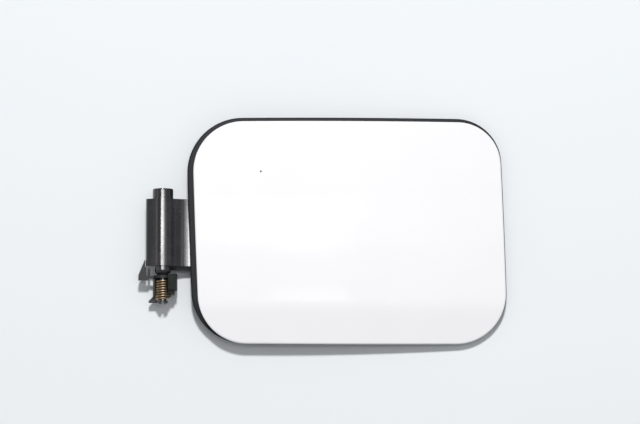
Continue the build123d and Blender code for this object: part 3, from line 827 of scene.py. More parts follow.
class NodeTree:
    """A geometry tree in the making, with named inputs that are set by their identifiers."""

    def __init__(self, name, **inputs):
        self.tree = bpy.data.node_groups.new(name, "GeometryNodeTree")
        inputs = {label.replace("_", " "): default for label, default in inputs.items()}
        self.sockets = add_inputs(self.tree, {**inputs, "Material": "Material"})
        self.tree.interface.new_socket("Geometry", in_out="OUTPUT", socket_type="NodeSocketGeometry")
        self.start = self.tree.nodes.new("NodeGroupInput").outputs
        self.end = self.tree.nodes.new("NodeGroupOutput").inputs

    def node(self, kind, inputs=None, output=0, **options):
        """An output of a new geometry node."""
        return add_node(self.tree, "GeometryNode" + kind, inputs, **options).outputs[output]

    def math(self, operation, *values):
        """The result of a math node."""
        return add_math(self.tree, operation, *values)

    def vector(self, **axes):
        """A vector from values on its named axes, 0 on the others."""
        return add_node(self.tree, "ShaderNodeCombineXYZ", axes).outputs[0]

    def split(self, vector):
        """The axes of a vector."""
        return add_node(self.tree, "ShaderNodeSeparateXYZ", {"Vector": vector}).outputs

    def blend(self, share, first, second):
        """The first value where the share is 0, the second where it is 1."""
        rest = self.math("MULTIPLY", first, self.math("SUBTRACT", 1.0, share))
        return self.math("ADD", rest, self.math("MULTIPLY", second, share))

    def join(self, *parts):
        """All the parts as one geometry."""
        whole = self.tree.nodes.new("GeometryNodeJoinGeometry")
        for part in parts:
            self.tree.links.new(part, whole.inputs[0])
        return whole.outputs[0]

    def finish(self, geometry):
        """Ends the tree: real geometry, smooth faces and its material."""
        real = self.node("RealizeInstances", {"Geometry": geometry})
        smooth = self.node("SetShadeSmooth", {"Geometry": real})
        coat = self.node("SetMaterial", {"Geometry": smooth, "Material": self.start["Material"]})
        self.tree.links.new(coat, self.end["Geometry"])
        return self

    def bake(self, name, finish, **values):
        """The tree's result with these input values and this finish, as a plain mesh object."""
        holder = add_object(name + "_holder", bpy.data.meshes.new(name + "_holder"))
        modifier = holder.modifiers.new(name, "NODES")
        modifier.node_group = self.tree
        for label, value in {**values, "Material": material(finish)}.items():
            modifier[self.sockets[label.replace("_", " ")]] = value
        bpy.context.view_layer.update()
        mesh = bpy.data.meshes.new_from_object(holder.evaluated_get(bpy.context.evaluated_depsgraph_get()))
        holder.modifiers.remove(modifier)
        bpy.data.objects.remove(holder)
        if not mesh.polygons:
            raise RuntimeError(f"{name} came out empty")
        mesh.name = name
        mesh.set_sharp_from_angle(angle=radians(35.0))
        return add_object(name, mesh)


def spring_tree():
    """Round wire along a coil, with a straight leg at its start and a crossing tang at its end."""
    tree = NodeTree(
        "Torsion Coil",
        Turns=8.0,
        Pitch=1.45 * mm,
        Radius=3.7 * mm,
        Wire=1.25 * mm,
        Start=-50.0 * mm,
        Leg=7.0 * mm,
        Tang=6.0 * mm,
    )
    start = tree.start
    first, radius = start["Start"], start["Radius"]
    height = tree.math("MULTIPLY", start["Turns"], start["Pitch"])
    last = tree.math("SUBTRACT", first, height)
    below = tree.math("MULTIPLY", radius, -1.0)
    half_wire = tree.math("MULTIPLY", start["Wire"], 0.5)
    turns = {"Resolution": 72, "Rotations": start["Turns"], "Reverse": True}
    size = {"Start Radius": radius, "End Radius": radius, "Height": height}
    spiral = tree.node("CurveSpiral", {**turns, **size})
    along_axis = {"Translation": tree.vector(Y=first), "Rotation": (pi / 2, pi / 2, 0.0)}
    coil = tree.node("Transform", {"Geometry": spiral, **along_axis})
    leg_ends = tree.vector(Y=first, Z=below), tree.vector(X=start["Leg"], Y=first, Z=below)
    tip = tree.math("ADD", below, start["Tang"])
    tang_ends = tree.vector(Y=last, Z=below), tree.vector(Y=last, Z=tip)
    leg, tang = (
        tree.node("CurvePrimitiveLine", {"Start": root, "End": end}) for root, end in (leg_ends, tang_ends)
    )
    section = tree.node("CurvePrimitiveCircle", {"Resolution": 16, "Radius": half_wire})
    path = {"Curve": tree.join(coil, leg, tang), "Profile Curve": section}
    wire = tree.node("CurveToMesh", {**path, "Fill Caps": True})
    knuckle = tree.node("MeshUVSphere", {"Segments": 16, "Rings": 10, "Radius": half_wire})
    elbow = tree.node("Transform", {"Geometry": knuckle, "Translation": tang_ends[0]})
    return tree.finish(tree.join(wire, elbow))


def scatter_tree():
    """A form set on every point of a mesh, each turned by its own seeded angle."""
    tree = NodeTree("Fastener Places", Places="Object", Form="Object", Turn=2 * pi, Seed=7)
    start = tree.start
    places = tree.node("ObjectInfo", {"Object": start["Places"]}, "Geometry")
    form = tree.node("ObjectInfo", {"Object": start["Form"], "As Instance": True}, "Geometry")
    largest, result = 3, 1
    turn = {largest: start["Turn"], "Seed": start["Seed"]}
    turn = add_node(tree.tree, "FunctionNodeRandomValue", turn, data_type="FLOAT").outputs[result]
    return tree.finish(
        tree.node("InstanceOnPoints", {"Points": places, "Instance": form, "Rotation": tree.vector(Z=turn)})
    )


def rib_tree():
    """Crossing ribs whose roots follow the crowned plate, sunk into it under the cap hanger."""
    origin = (0.0, 0.0, 0.0)
    tree = NodeTree(
        "Rib Field",
        Columns=5,
        Rows=4,
        Low=origin,
        High=origin,
        Width=1.6 * mm,
        Edge=-6.0 * mm,
        Crown_Centre=origin,
        Crown_Radius=1350.0 * mm,
        Clear_Middle=origin,
        Clear_Half=origin,
    )
    start = tree.start
    vectors = ("Low", "High", "Crown Centre", "Clear Middle", "Clear Half")
    low, high, centre, clear, half = (tree.split(start[label]) for label in vectors)
    span = {axis: tree.math("SUBTRACT", high[axis], low[axis]) for axis in "XY"}
    middle = {axis: tree.math("ADD", low[axis], tree.math("MULTIPLY", span[axis], 0.5)) for axis in "XY"}
    spare = tree.math("SUBTRACT", start["Width"], overlap)
    column_height, row_height = 1.0 * mm, 0.9 * mm  # apart, so that the free edges don't share a plane
    fields = []
    for label, axis, other, tall in (("Columns", "X", "Y", column_height), ("Rows", "Y", "X", row_height)):
        gaps = tree.math("SUBTRACT", start[label], 1.0)
        size = {axis: start["Width"], other: tree.math("ADD", span[other], spare), "Z": tall}
        cuts = {f"Vertices {axis}": 2, f"Vertices {other}": 97, "Vertices Z": 2}
        line = {
            "Count": start[label],
            "Start Location": tree.vector(**{axis: low[axis], other: middle[other]}),
            "Offset": tree.vector(**{axis: tree.math("DIVIDE", span[axis], gaps)}),
        }
        bar = tree.node("MeshCube", {"Size": tree.vector(**size), **cuts})
        spots = tree.node("MeshLine", line, mode="OFFSET")
        fields.append(tree.node("InstanceOnPoints", {"Points": spots, "Instance": bar}))
    real = tree.node("RealizeInstances", {"Geometry": tree.join(*fields)})
    point = tree.split(tree.node("InputPosition"))
    squares, inside = [], []
    for axis in "XY":
        beside = tree.math("SUBTRACT", point[axis], centre[axis])
        squares.append(tree.math("MULTIPLY", beside, beside))
        away = tree.math("ABSOLUTE", tree.math("SUBTRACT", point[axis], clear[axis]))
        inside.append(tree.math("LESS_THAN", away, half[axis]))
    radius = start["Crown Radius"]
    ball = tree.math("SUBTRACT", tree.math("MULTIPLY", radius, radius), tree.math("ADD", *squares))
    root = tree.math("ADD", centre["Z"], tree.math("SQRT", ball))
    sunk = tree.math("SUBTRACT", root, 4 * overlap)
    free_edge = tree.math("ADD", start["Edge"], tree.math("ADD", point["Z"], column_height / 2))
    edge = tree.blend(tree.math("MULTIPLY", *inside), free_edge, sunk)
    level = tree.blend(tree.math("GREATER_THAN", point["Z"], 0.0), edge, root)
    shaped = {"Geometry": real, "Position": tree.vector(X=point["X"], Y=point["Y"], Z=level)}
    return tree.finish(tree.node("SetPosition", shaped))


def scatter(name, finish, form, points, turn):
    """Copies of a form on points, turned by up to that angle, as one piece."""
    mesh = bpy.data.meshes.new(name + "_places")
    mesh.from_pydata(points, [], [])
    places = add_object(name + "_places", mesh)
    piece = scatter_tree().bake(name, finish, Places=places, Form=form, Turn=turn)
    for helper in (form, places):
        bpy.data.objects.remove(helper)
    return piece


def seat(piece, body, slot, *nodes):
    """Gives a finished piece its body and hides the CAD nodes that it stands for; the slot argument is not
    used.
    """
    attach(piece, body)
    if nodes:
        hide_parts(*nodes)


# Places along the hinge axis and under the door


class Stations:
    """Stations of the hinge, worked out from its sizes."""

    def __init__(self, hinge):
        self.barrel_top = -hinge.pivot_length / 2
        self.barrel_end = self.barrel_top - hinge.barrel_length
        self.cone_end = self.barrel_end - hinge.cone_length
        self.ear_top = self.cone_end - hinge.ear_gap
        self.ear_bottom = self.ear_top - hinge.ear_thickness
        self.coil_start = self.ear_bottom - hinge.spring_play - hinge.wire / 2
        self.coil_end = self.coil_start - hinge.coil_turns * hinge.coil_pitch
        self.head_top = self.coil_end - hinge.wire / 2 - hinge.spring_play
        self.head_end = self.head_top - hinge.head_length
        self.slot_end = self.coil_end + hinge.wire / 2 + hinge.spring_play
        self.slot_half = hinge.wire / 2 + hinge.tang_play
        barrel, level = hinge.barrel_radius, hinge.foot_seat
        self.cove_radius = (hinge.cove_reach**2 + level**2 - barrel**2) / (2 * (barrel - level))
        self.cove = (hinge.cove_reach, level + self.cove_radius)
        self.cove_turn = atan2(-self.cove[1], -self.cove[0])
        self.plate_low = level - hinge.plate_thickness
        self.plate_end = hinge.foot_start + hinge.plate_thickness
        self.arm_width = hinge.barrel_length + hinge.web_width
        self.arm_middle = self.barrel_top - self.arm_width / 2
        self.foot_centre = (hinge.foot_start + hinge.foot_end) / 2


def screw_places(hinge, fitting):
    """Screw seats as x, y and the height of each head's seat."""
    at = Stations(hinge)
    across, along = fitting.arm_pitch
    pairs = [(at.foot_centre + side * across / 2, at.arm_middle, at.plate_low, along) for side in (-1, 1)]
    for (x, y, level), size, pitch in (
        (fitting.striker, fitting.striker_size, fitting.striker_pitch),
        (fitting.hanger, fitting.hanger_size, fitting.hanger_pitch),
    ):
        pairs.append((x, y, level - size[2], pitch))
    return [(x, y + end * pitch / 2, level) for x, y, level, pitch in pairs for end in (-1, 1)]


def foot_plan(hinge, margin=0.0):
    """Plan of the arm's foot."""
    at = Stations(hinge)
    left, right = hinge.foot_start - margin, hinge.foot_end + margin
    near, far = at.arm_width / 2 + margin, hinge.foot_width / 2 + margin
    corners = [(left, -near), (right, -far), (right, far), (left, near)]
    corners = [(x, at.arm_middle + y) for x, y in corners]
    whole = rounded(corners, hinge.foot_corner + margin, steps=8)
    corner = len(whole) // 4
    return [corners[0]] + whole[corner : 3 * corner] + [corners[3]]


# The pieces


class FUELDOOR_OT_skin(bpy.types.Operator):
    """Build the painted skin: crowned tray with a rounded edge and a short rim"""

    bl_idname = "fueldoor.skin"
    bl_label = "Painted Skin"

    def execute(self, context):
        door = settings().door
        wall, edge, rim, lip = door.skin_thickness, door.skin_edge, door.rim_depth, door.rim_rounding
        rows = [(wall, wall), (wall, rim, -lip), (wall - lip, rim)]
        rows += [(lip * (1 - sin(turn)), rim, -lip * (1 - cos(turn))) for turn in quarter_turn(4)]
        rows += [(edge * (1 - cos(turn)), 0.0, edge * (1 - sin(turn))) for turn in quarter_turn(10)]
        skin = crowned_layer("painted_skin", "White paint", door, rows)
        seat(skin, "door", "paint", "outer_panel")
        return {"FINISHED"}


class FUELDOOR_OT_seal(bpy.types.Operator):
    """Build the rounded seal lip under the skin's rim"""

    bl_idname = "fueldoor.seal"
    bl_label = "Seal Lip"

    def execute(self, context):
        door = settings().door
        inner, outer = door_loop(door), door_loop(door, *door.seal)
        half = door.seal_thickness / 2
        edge = door.skin_thickness + door.bond_gap
        depth = door.rim_depth + door.bond_gap + half
        loops = [loop_at(door, inner, edge, depth, -half)]
        for turn in (2 * turn for turn in quarter_turn(10)):
            loops.append(loop_at(door, outer, half * (1 - sin(turn)), depth, -half * cos(turn)))
        loops.append(loop_at(door, inner, edge, depth, half))
        shell = Shell()
        rings = [shell.ring(loop) for loop in loops]
        shell.bridge(rings + rings[:1])
        seal = shell.make("seal_lip", "Soft rubber", sharp=50)
        seat(seal, "door", "seal", "edge_seal")
        return {"FINISHED"}


class FUELDOOR_OT_inner(bpy.types.Operator):
    """Build the inner panel: crowned plate, ribs and the seats of everything that it carries"""

    bl_idname = "fueldoor.inner"
    bl_label = "Inner Panel"

    def execute(self, context):
        door, hinge, fitting = settings().door, settings().hinge, settings().fitting
        inset = door.skin_thickness + door.inner_play
        top = door.skin_thickness + door.bond_gap
        bottom = top + door.inner_thickness
        middle = (top + bottom) / 2
        lip, margin = door.inner_rounding, fitting.seat_margin
        rows = [(inset, top), (inset, bottom, -lip), (inset + lip, bottom)]
        plate = crowned_layer("inner_plate", "Grained black", door, rows)
        seat(plate, "door", "inner", "inner_panel")
        pads = [(foot_plan(hinge, margin), hinge.foot_seat)]
        for place, size in ((fitting.striker, fitting.striker_size), (fitting.hanger, fitting.hanger_size)):
            pads.append((plate_plan(place, size, fitting.plate_corner, margin), place[2]))
        for y in fitting.stop_y:
            ring = [upright(fitting.stop_base + margin, turn, 0.0) for turn in full_turn(48)]
            pads.append(([(fitting.stop_x + a, y + b) for a, b, _ in ring], fitting.stop_seat))
        shell = Shell()
        for outline, level in pads:
            shell.prism(outline, in_plan, level, lambda x, y: crown_level(door, x, y, middle))
        seats = shell.make("inner_seats", "Grained black", bevel=fitting.edge_rounding)
        seat(seats, "door", "inner")
        crown_x, crown_y, crown_z = door.crown
        clear_x, clear_y = (side / 2 + margin for side in fitting.hanger_size[:2])
        ribs = rib_tree().bake(
            "inner_ribs",
            "Grained black",
            Columns=fitting.rib_columns,
            Rows=fitting.rib_rows,
            Low=tuple(fitting.rib_low),
            High=tuple(fitting.rib_high),
            Width=fitting.rib_width,
            Edge=fitting.rib_seat,
            Crown_Centre=(crown_x, crown_y, crown_z - door.crown_radius),
            Crown_Radius=door.crown_radius - middle,
            Clear_Middle=tuple(fitting.hanger),
            Clear_Half=(clear_x, clear_y, 0.0),
        )
        seat(ribs, "door", "inner")
        return {"FINISHED"}


class FUELDOOR_OT_arm(bpy.types.Operator):
    """Build the hinge arm: pivot, barrel, swept plate, skirt, webs, cone, split head and foot"""

    bl_idname = "fueldoor.arm"
    bl_label = "Hinge Arm"

    def execute(self, context):
        hinge = settings().hinge
        at = Stations(hinge)
        shell = Shell()
        shell.turned(self.pivot(hinge, at), along_hinge)
        shell.turned(self.cone(hinge, at), along_hinge)
        for side in (-1, 1):
            shell.loft(self.prong(hinge, at, side))
        shell.prism(self.section(hinge, at), in_section, at.barrel_end, at.barrel_top)
        middle = at.barrel_top - (hinge.barrel_length - hinge.web_width) / 2
        for station in (at.barrel_top - 5 * hair, middle):
            shell.prism(self.web(hinge, at), in_section, station - hinge.web_width, station)
        for step in (0, 1):
            high = at.barrel_end - step * hinge.web_shelf
            drop = step * (hinge.web_step + hinge.web_break)
            ends = (high - hinge.web_shelf, drop + hinge.web_step), (high + 3 * overlap, drop)
            webs = [(y, self.web(hinge, at, fall, 3 * step * hair)) for y, fall in ends]
            shell.loft([[in_section(x, z, y) for x, z in web] for y, web in webs])
        shell.prism(foot_plan(hinge), in_plan, at.plate_low + hair, hinge.foot_seat - hair)
        arm = shell.make("swept_arm", "Gloss black", bevel=hinge.barrel_rounding)
        seat(arm, "door", "arm", "hinge_arm")
        return {"FINISHED"}

    def pivot(self, hinge, at):
        """Half section of the upper pivot pin, as radius and station."""
        top = hinge.pivot_length / 2
        pin, edge = hinge.pivot_radius, hinge.pivot_rounding
        inside = at.barrel_top - edge
        end = arc((pin - edge, top - edge), edge, pi / 2, 0, 6)
        return [(0, top), *end, (pin, top - edge - overlap), (pin, inside), (0, inside)]

    def cone(self, hinge, at):
        """Half section of the cone, full over its first half, and of the stub under the coil."""
        edge, steps = hinge.barrel_rounding, 16
        root, tip, stub = hinge.cone_root, hinge.cone_tip, hinge.stub_radius
        points = [(0, at.barrel_end + edge), (root, at.barrel_end + edge)]
        for share in (step / steps for step in range(steps)):
            swell = tip + (root - tip) * cos(max(share - 0.5, 0.0) * pi)
            points.append((swell, at.barrel_end - share * (hinge.cone_length - edge)))
        points += arc((tip - edge, at.cone_end + edge), edge, 0, -pi / 2, 4)
        return points + [(stub, at.cone_end), (stub, at.slot_end), (0, at.slot_end)]

    def prong(self, hinge, at, side):
        """Loops of one half of the split head."""
        loops = []
        for radius, station in (
            (hinge.stub_radius, at.slot_end + 4 * overlap),
            (hinge.stub_radius, at.head_top + 5 * hair),
            (hinge.head_radius, at.head_top),
            (hinge.head_radius, at.head_end + hinge.head_chamfer),
            (hinge.head_radius - hinge.head_chamfer, at.head_end),
        ):
            reach = atan2(sqrt(radius**2 - at.slot_half**2), at.slot_half)
            loops.append([(side * x, station, z) for x, z in arc((0, 0), radius, -reach, reach, 14)])
        return loops

    def section(self, hinge, at):
        """Outline of skirt, barrel and swept plate across the hinge axis."""
        barrel = hinge.barrel_radius
        skirt = pi / 2 + hinge.skirt_angle
        away = Vector((cos(skirt), sin(skirt)))
        down = Vector((-sin(skirt), cos(skirt)))
        inner = barrel - hinge.skirt_thickness
        tip = away * barrel + down * sqrt(hinge.skirt_reach**2 - barrel**2)
        nose = hinge.skirt_rounding
        run = (tip.x + nose - away.x * (barrel - nose)) / down.x
        middle = away * (barrel - nose) + down * run
        back = away * inner + down * (middle.y - away.y * inner) / down.y
        outline = [tuple(back), *arc(middle, nose, pi, skirt, 14)]
        outline += arc((0, 0), barrel, skirt, at.cove_turn + pi, 64)
        outline += arc(at.cove, at.cove_radius, at.cove_turn, -pi / 2, 48)[1:]
        outline += [(at.plate_end, hinge.foot_seat), (at.plate_end, at.plate_low)]
        under = arc(at.cove, at.cove_radius + hinge.plate_thickness, -pi / 2, at.cove_turn, 48)
        outline += [point for point in under if hypot(*point) > barrel]
        first = atan2(outline[-1][1], outline[-1][0])
        root = away * inner + down * sqrt(barrel**2 - inner**2)
        last = atan2(root.y, root.x)
        return outline + arc((0, 0), barrel, first, last if last < first else last - 2 * pi, 48)[1:]

    def web(self, hinge, at, drop=0.0, lift=0.0):
        """Outline of a stiffening web, from the middle of the plate down to its belly."""
        half = hinge.plate_thickness / 2
        floor = cad_bounds[0][2] + lift
        top = arc(at.cove, at.cove_radius + half + drop, at.cove_turn, -pi / 2, 32)
        belly = [
            (hinge.foot_start, at.plate_low + lift),
            (hinge.cove_reach + hinge.web_belly / 2, floor),
            (hinge.cove_reach - hinge.web_belly / 2, floor),
            (0.0, -hinge.barrel_radius + lift),
        ]
        soft = rounded(belly, hinge.web_rounding)
        corner = len(soft) // 4
        end = (hinge.foot_start, hinge.foot_seat - half - drop)
        return top + [end, belly[0]] + soft[corner : 3 * corner] + [belly[3]]


class FUELDOOR_OT_spring(bpy.types.Operator):
    """Build the torsion spring"""

    bl_idname = "fueldoor.spring"
    bl_label = "Torsion Spring"

    def execute(self, context):
        hinge = settings().hinge
        at = Stations(hinge)
        spring = spring_tree().bake(
            "spring_coil",
            "Bronze wire",
            Turns=float(hinge.coil_turns),
            Pitch=hinge.coil_pitch,
            Radius=hinge.coil_radius,
            Wire=hinge.wire,
            Start=at.coil_start,
            Leg=hinge.leg_length,
            Tang=hinge.coil_radius + hinge.stub_radius,
        )
        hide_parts("torsion_spring")
        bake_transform(spring)
        return {"FINISHED"}


class FUELDOOR_OT_bracket(bpy.types.Operator):
    """Build the pivot bracket: bearing ear, cradle, guard, fin, web and toe"""

    bl_idname = "fueldoor.bracket"
    bl_label = "Pivot Bracket"

    def execute(self, context):
        hinge = settings().hinge
        at = Stations(hinge)
        gap = 2 * hair
        cradle = hinge.cradle_radius
        floor = -cradle - hinge.cradle_floor
        wall = -cradle - hinge.cradle_wall
        guard = cradle + hinge.guard_wall
        guard_high = at.ear_top + hinge.guard_start
        guard_end = guard_high - hinge.guard_length
        cradle_end = at.ear_bottom - hinge.cradle_length
        shell = Shell()
        ear = self.ear(hinge, floor + gap, wall + gap, guard - gap)
        shell.prism(ear, in_section, at.ear_bottom - 2 * gap, at.ear_top)
        bed = rectangle(wall + 2 * gap, cradle, floor + 2 * gap, -cradle)
        shell.prism(bed, in_section, cradle_end + gap, at.ear_bottom)
        side = rectangle(wall, -cradle + gap, floor, hinge.cradle_wall_top)
        shell.prism(side, in_section, cradle_end, at.ear_bottom + gap)
        shell.prism(self.guard(hinge, guard, hinge.guard_top, floor), in_section, guard_end, guard_high)
        drop = hinge.guard_step
        step = self.guard(hinge, guard - drop, hinge.guard_top - drop, floor + 3 * gap)
        shell.prism(step, in_section, guard_end - hinge.guard_step_length, guard_end + overlap)
        self.fin(shell, hinge, at, wall, gap)
        web_inner = -hinge.web_reach + hinge.web_thickness
        web = rectangle(-hinge.web_reach, web_inner, floor / 2, hinge.fin_top - hinge.web_drop)
        web_end = at.barrel_end - hinge.fin_gap - hinge.web_drop
        shell.prism(web, in_section, at.ear_top - overlap, web_end)
        toe_inner = -hinge.head_radius - hinge.fin_gap
        toe_root, toe_end = cradle_end + overlap, cradle_end - hinge.toe_length
        toe = [
            (-cradle, toe_root),
            (wall, toe_root),
            (wall, cradle_end),
            (-hinge.toe_reach, toe_end + hinge.toe_side),
            (-hinge.toe_reach, toe_end),
            (toe_inner, toe_end),
            (toe_inner, toe_root),
        ]
        shell.prism(toe, in_plan, floor + gap, hinge.toe_top)
        bracket = shell.make("bracket_body", "Bracket black", bevel=hinge.bracket_rounding)
        seat(bracket, "bracket", "bracket", "pivot_bracket")
        return {"FINISHED"}

    def ear(self, hinge, floor, wall, guard):
        """Section of the bearing ear, rounded over the stub."""
        over = arc((0, 0), hinge.stub_radius + hinge.ear_margin, 0, pi, 32)
        return [(wall, floor), (guard, floor), (guard, 0), *over, (wall, 0)]

    def guard(self, hinge, right, top, floor):
        """Section of the guard, hollowed round the coil."""
        room = hinge.cradle_radius
        turn = atan2(sqrt(room**2 - hinge.guard_lip**2), hinge.guard_lip)
        hollow = arc((0, 0), room, turn, -turn, 24)
        outer = top - (right - hinge.guard_lip) * tan(hinge.guard_slope)
        return [(hinge.guard_lip, floor), (right, floor), (right, outer), (hinge.guard_lip, top), *hollow]

    def fin(self, shell, hinge, at, wall, gap):
        """The fin beside the skirt, and the tongue that joins it to the ear."""
        inner, outer = -hinge.skirt_reach - hinge.fin_gap, -hinge.fin_reach
        shelf = at.barrel_end - hinge.fin_gap
        slit = -hinge.web_reach - hinge.web_gap
        edge = -hinge.web_reach + hinge.web_thickness / 2
        low, high = hinge.fin_top - hinge.fin_thickness, hinge.fin_top
        start, end = at.ear_top + hinge.fin_length, at.ear_bottom - hinge.fin_drop
        fin = [
            (inner, start),
            (inner - hinge.fin_tip, start),
            (outer, at.ear_top + hinge.fin_tip),
            (outer, end),
            (edge, end),
            (edge, at.ear_top),
            (slit, at.ear_top),
            (slit, shelf),
            (inner, shelf),
        ]
        shell.prism(fin, in_plan, low, high)
        tongue = rectangle(edge - 3 * overlap, wall + 3 * overlap, low + gap, high - gap)
        shell.prism(tongue, in_section, at.ear_bottom + gap, at.ear_top - gap)


def hooked_plate(name, place, size, hook, hook_place, middle, width):
    """A screwed plate with a hook of constant section under it."""
    fitting = settings().fitting
    shell = Shell()
    shell.prism(plate_plan(place, size, fitting.plate_corner), in_plan, place[2] - size[2], place[2])
    shell.prism(hook, hook_place, middle - width / 2, middle + width / 2)
    return shell.make(name, "Grained black", bevel=fitting.edge_rounding)


class FUELDOOR_OT_striker(bpy.types.Operator):
    """Build the latch striker: a plate with a hooked lip"""

    bl_idname = "fueldoor.striker"
    bl_label = "Latch Striker"

    def execute(self, context):
        fitting = settings().fitting
        place, size = fitting.striker, fitting.striker_size
        low = place[2] - size[2]
        root, foot = low + 3 * overlap, low - fitting.hook_drop
        right = place[0] + fitting.hook_wall / 2
        left = right - fitting.hook_wall
        tip, lip = left - fitting.hook_lip, foot + fitting.hook_lip_thickness
        hook = [(right, root), (left, root), (left, lip), (tip, lip), (tip, foot), (right, foot)]
        striker = hooked_plate("striker_hook", place, size, hook, in_section, place[1], fitting.hook_width)
        seat(striker, "door", "inner", "latch_striker")
        return {"FINISHED"}


class FUELDOOR_OT_hanger(bpy.types.Operator):
    """Build the cap hanger: a screwed plate with an arm that holds the cap's strap"""

    bl_idname = "fueldoor.hanger"
    bl_label = "Cap Hanger"

    def execute(self, context):
        fitting = settings().fitting
        place, size, arm = fitting.hanger, fitting.hanger_size, fitting.hanger_arm
        low = place[2] - size[2]
        high, shelf = low + 3 * overlap, low - fitting.hanger_gap
        foot, lip = shelf - arm, shelf + fitting.hanger_lip
        root = place[1] - fitting.hanger_pitch / 2 + fitting.head_radius + fitting.seat_margin
        tip = root + fitting.hanger_arm_length
        hook = [(root, high), (root, foot), (tip, foot), (tip, lip)]
        hook += [(tip - arm, lip), (tip - arm, shelf), (root + arm, shelf), (root + arm, high)]

        def along_door(along, level, across):
            return (across, along, level)

        hanger = hooked_plate("hanger_hook", place, size, hook, along_door, place[0], size[0])
        seat(hanger, "door", "inner", "cap_hanger")
        return {"FINISHED"}


class FUELDOOR_OT_screws(bpy.types.Operator):
    """Set the screws with their lobed drives"""

    bl_idname = "fueldoor.screws"
    bl_label = "Screws"

    def execute(self, context):
        hinge, fitting = settings().hinge, settings().fitting
        places = screw_places(hinge, fitting)
        screws = scatter("screw_set", "Zinc screw", self.form(fitting), places, turn=2 * pi)
        nodes = [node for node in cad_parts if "_screw_" in node]
        seat(screws, "door", "screws", *nodes)
        return {"FINISHED"}

    def form(self, fitting):
        """One pan-head screw, head downwards, with its seat at the origin."""
        shank, head = fitting.screw_radius, fitting.head_radius
        height, dome = fitting.head_height, fitting.head_rounding
        lobes, lobe_depth = 6, 0.16
        turns = full_turn(48)
        plain = [(shank, fitting.screw_bite), (shank, 0.0), (head, 0.0)]
        for turn in quarter_turn(5):
            plain.append((head - dome * (1 - cos(turn)), dome * (1 - sin(turn)) - height))
        loops = [[upright(radius, turn, level) for turn in turns] for radius, level in plain]
        for share, depth in ((1.1, 0.0), (1.0, fitting.recess_chamfer), (0.92, fitting.recess_depth)):
            radii = [fitting.recess_radius * share * (1 + lobe_depth * cos(lobes * turn)) for turn in turns]
            loops.append([upright(radius, turn, depth - height) for radius, turn in zip(radii, turns)])
        shell = Shell()
        shell.loft(loops)
        return shell.make("screw_form", "Zinc screw")


class FUELDOOR_OT_stops(bpy.types.Operator):
    """Set the two rubber bump stops"""

    bl_idname = "fueldoor.stops"
    bl_label = "Bump Stops"

    def execute(self, context):
        fitting = settings().fitting
        height = fitting.stop_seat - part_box("bump_stop_upper")[0][2]
        base, flange = fitting.stop_base, fitting.stop_base_height
        soft, tip = fitting.stop_rounding, fitting.stop_tip
        profile = [(0, 0.0), (base - soft, 0.0)]
        profile += arc((base - soft, soft - flange), soft, 0, -pi / 2, 4)
        profile += arc((fitting.stop_radius + soft, -flange - soft), soft, pi / 2, pi, 4)
        profile += [(tip + 0.6 * soft, soft - height), (tip, 0.3 * soft - height)]
        profile += [(tip - soft, -height), (0, -height)]
        shell = Shell()
        shell.turned(profile, upright, 64)
        form = shell.make("stop_form", "Soft rubber")
        places = [(fitting.stop_x, y, fitting.stop_seat) for y in fitting.stop_y]
        stops = scatter("stop_pair", "Soft rubber", form, places, turn=0.0)
        seat(stops, "door", "seal", "bump_stop_upper", "bump_stop_lower")
        return {"FINISHED"}


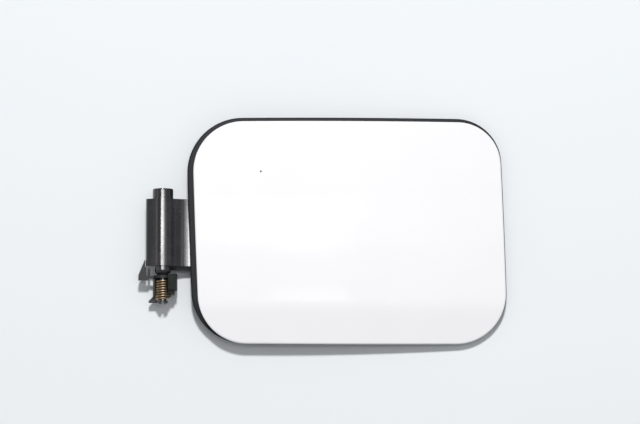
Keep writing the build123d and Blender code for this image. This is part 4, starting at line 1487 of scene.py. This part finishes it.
class FUELDOOR_OT_stage(bpy.types.Operator):
    """Set the floor, the lamps and the camera"""

    bl_idname = "fueldoor.stage"
    bl_label = "Studio"

    def execute(self, context):
        studio = settings().studio
        scene = context.scene
        low = cad_bounds[0][2] - 2 * hair
        half = studio.floor_size / 2
        mesh = bpy.data.meshes.new("floor")
        mesh.from_pydata([(x, y, low) for x, y in rectangle(-half, half, -half, half)], [], [(0, 1, 2, 3)])
        mesh.materials.append(material("Table top"))
        floor = add_object("floor", mesh)
        floor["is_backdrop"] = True
        self.lamps(studio)
        world = bpy.data.worlds.new("Pale room")
        world.use_nodes = True
        sky = world.node_tree.nodes["Background"].inputs
        sky["Color"].default_value = (*studio.sky, 1.0)
        sky["Strength"].default_value = studio.fill
        scene.world = world
        lens = bpy.data.cameras.new("camera")
        lens.sensor_fit = "HORIZONTAL"
        lens.angle = 2 * atan2(studio.view_width / 2, studio.camera_distance)
        lens.clip_start = 10 * mm
        camera = add_object("camera", lens)
        lean = Vector((0, -sin(studio.camera_tilt), cos(studio.camera_tilt)))
        camera.location = Vector(studio.target) + lean * studio.camera_distance
        camera.rotation_euler = (studio.camera_tilt, 0.0, 0.0)
        scene.camera = camera
        scene.view_settings.view_transform = "Standard"
        return {"FINISHED"}

    def lamps(self, studio):
        """The key lamp, the overhead strip with its fading end, two small lamps and a weak side lamp."""
        target, distance = Vector(studio.target), studio.key_distance
        key = target + Vector((0, sin(studio.key_tilt), cos(studio.key_tilt))) * distance
        self.lamp("key_lamp", key, (studio.key_size, studio.key_size), studio.key_power, target)
        x, y, height = studio.strip
        width, depth = studio.strip_size
        strip = self.lamp("strip_lamp", studio.strip, studio.strip_size, studio.strip_power)
        strip.visible_diffuse = False  # it shows in the gloss and leaves the shadows to the key lamp
        edge = x + width / 2
        shares_and_spreads = (0.45, 1), (0.22, 1), (0.05, 3)
        for number, (share, spread) in enumerate(shares_and_spreads, 1):
            panel = studio.fade_width * spread
            power = share * studio.strip_power / width * panel
            self.lamp(f"fade_lamp_{number}", (edge + panel / 2, y, height), (panel, depth), power)
            edge += panel
        glints = (studio.glint, studio.glint_size), (studio.glint_low, studio.glint_low_size)
        for number, (place, size) in enumerate(glints, 1):
            power = studio.glint_radiance * pi * size[0] * size[1]
            self.lamp(f"glint_lamp_{number}", (*place, height), size, power)
        side = (-sin(studio.side_tilt) * distance, studio.side_shift, cos(studio.side_tilt) * distance)
        self.lamp("side_lamp", side, (studio.side_size, studio.side_size), studio.side_power, Vector())

    def lamp(self, name, place, size, power, target=None):
        """A rectangular lamp that looks at a target, or else straight down."""
        light = bpy.data.lights.new(name, "AREA")
        light.shape = "RECTANGLE"
        light.size, light.size_y = size
        light.energy = power
        lamp = add_object(name, light)
        lamp.location = place
        aim = Vector((0.0, 0.0, -1.0)) if target is None else target - Vector(place)
        lamp.rotation_euler = aim.to_track_quat("-Z", "Y").to_euler()
        return lamp


steps = (
    FUELDOOR_OT_skin,
    FUELDOOR_OT_seal,
    FUELDOOR_OT_inner,
    FUELDOOR_OT_arm,
    FUELDOOR_OT_spring,
    FUELDOOR_OT_bracket,
    FUELDOOR_OT_striker,
    FUELDOOR_OT_hanger,
    FUELDOOR_OT_screws,
    FUELDOOR_OT_stops,
    FUELDOOR_OT_stage,
)


class FUELDOOR_PT_panel(bpy.types.Panel):
    """Buttons for the door's pieces"""

    bl_label = "Fuel Door"
    bl_idname = "FUELDOOR_PT_panel"
    bl_space_type = "VIEW_3D"
    bl_region_type = "UI"
    bl_category = "Fuel Door"

    def draw(self, context):
        for step in steps:
            self.layout.operator(step.bl_idname)


classes = (DoorShape, HingeShape, FittingShape, DoorFinish, Studio, FuelDoor, *steps, FUELDOOR_PT_panel)


def register():
    for item in classes:
        bpy.utils.register_class(item)
    bpy.types.Scene.fuel_door = PointerProperty(type=FuelDoor)


def unregister():
    del bpy.types.Scene.fuel_door
    for item in reversed(classes):
        bpy.utils.unregister_class(item)


def main():
    """Builds every piece in order."""
    register()
    for step in steps:
        group, name = step.bl_idname.split(".")
        getattr(getattr(bpy.ops, group), name)()
    boxes = {"cad": cad_bounds, "visual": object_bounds()}
    boxes = {key: [list(corner) for corner in box] for key, box in boxes.items()}


if __name__ == "__main__":
    main()
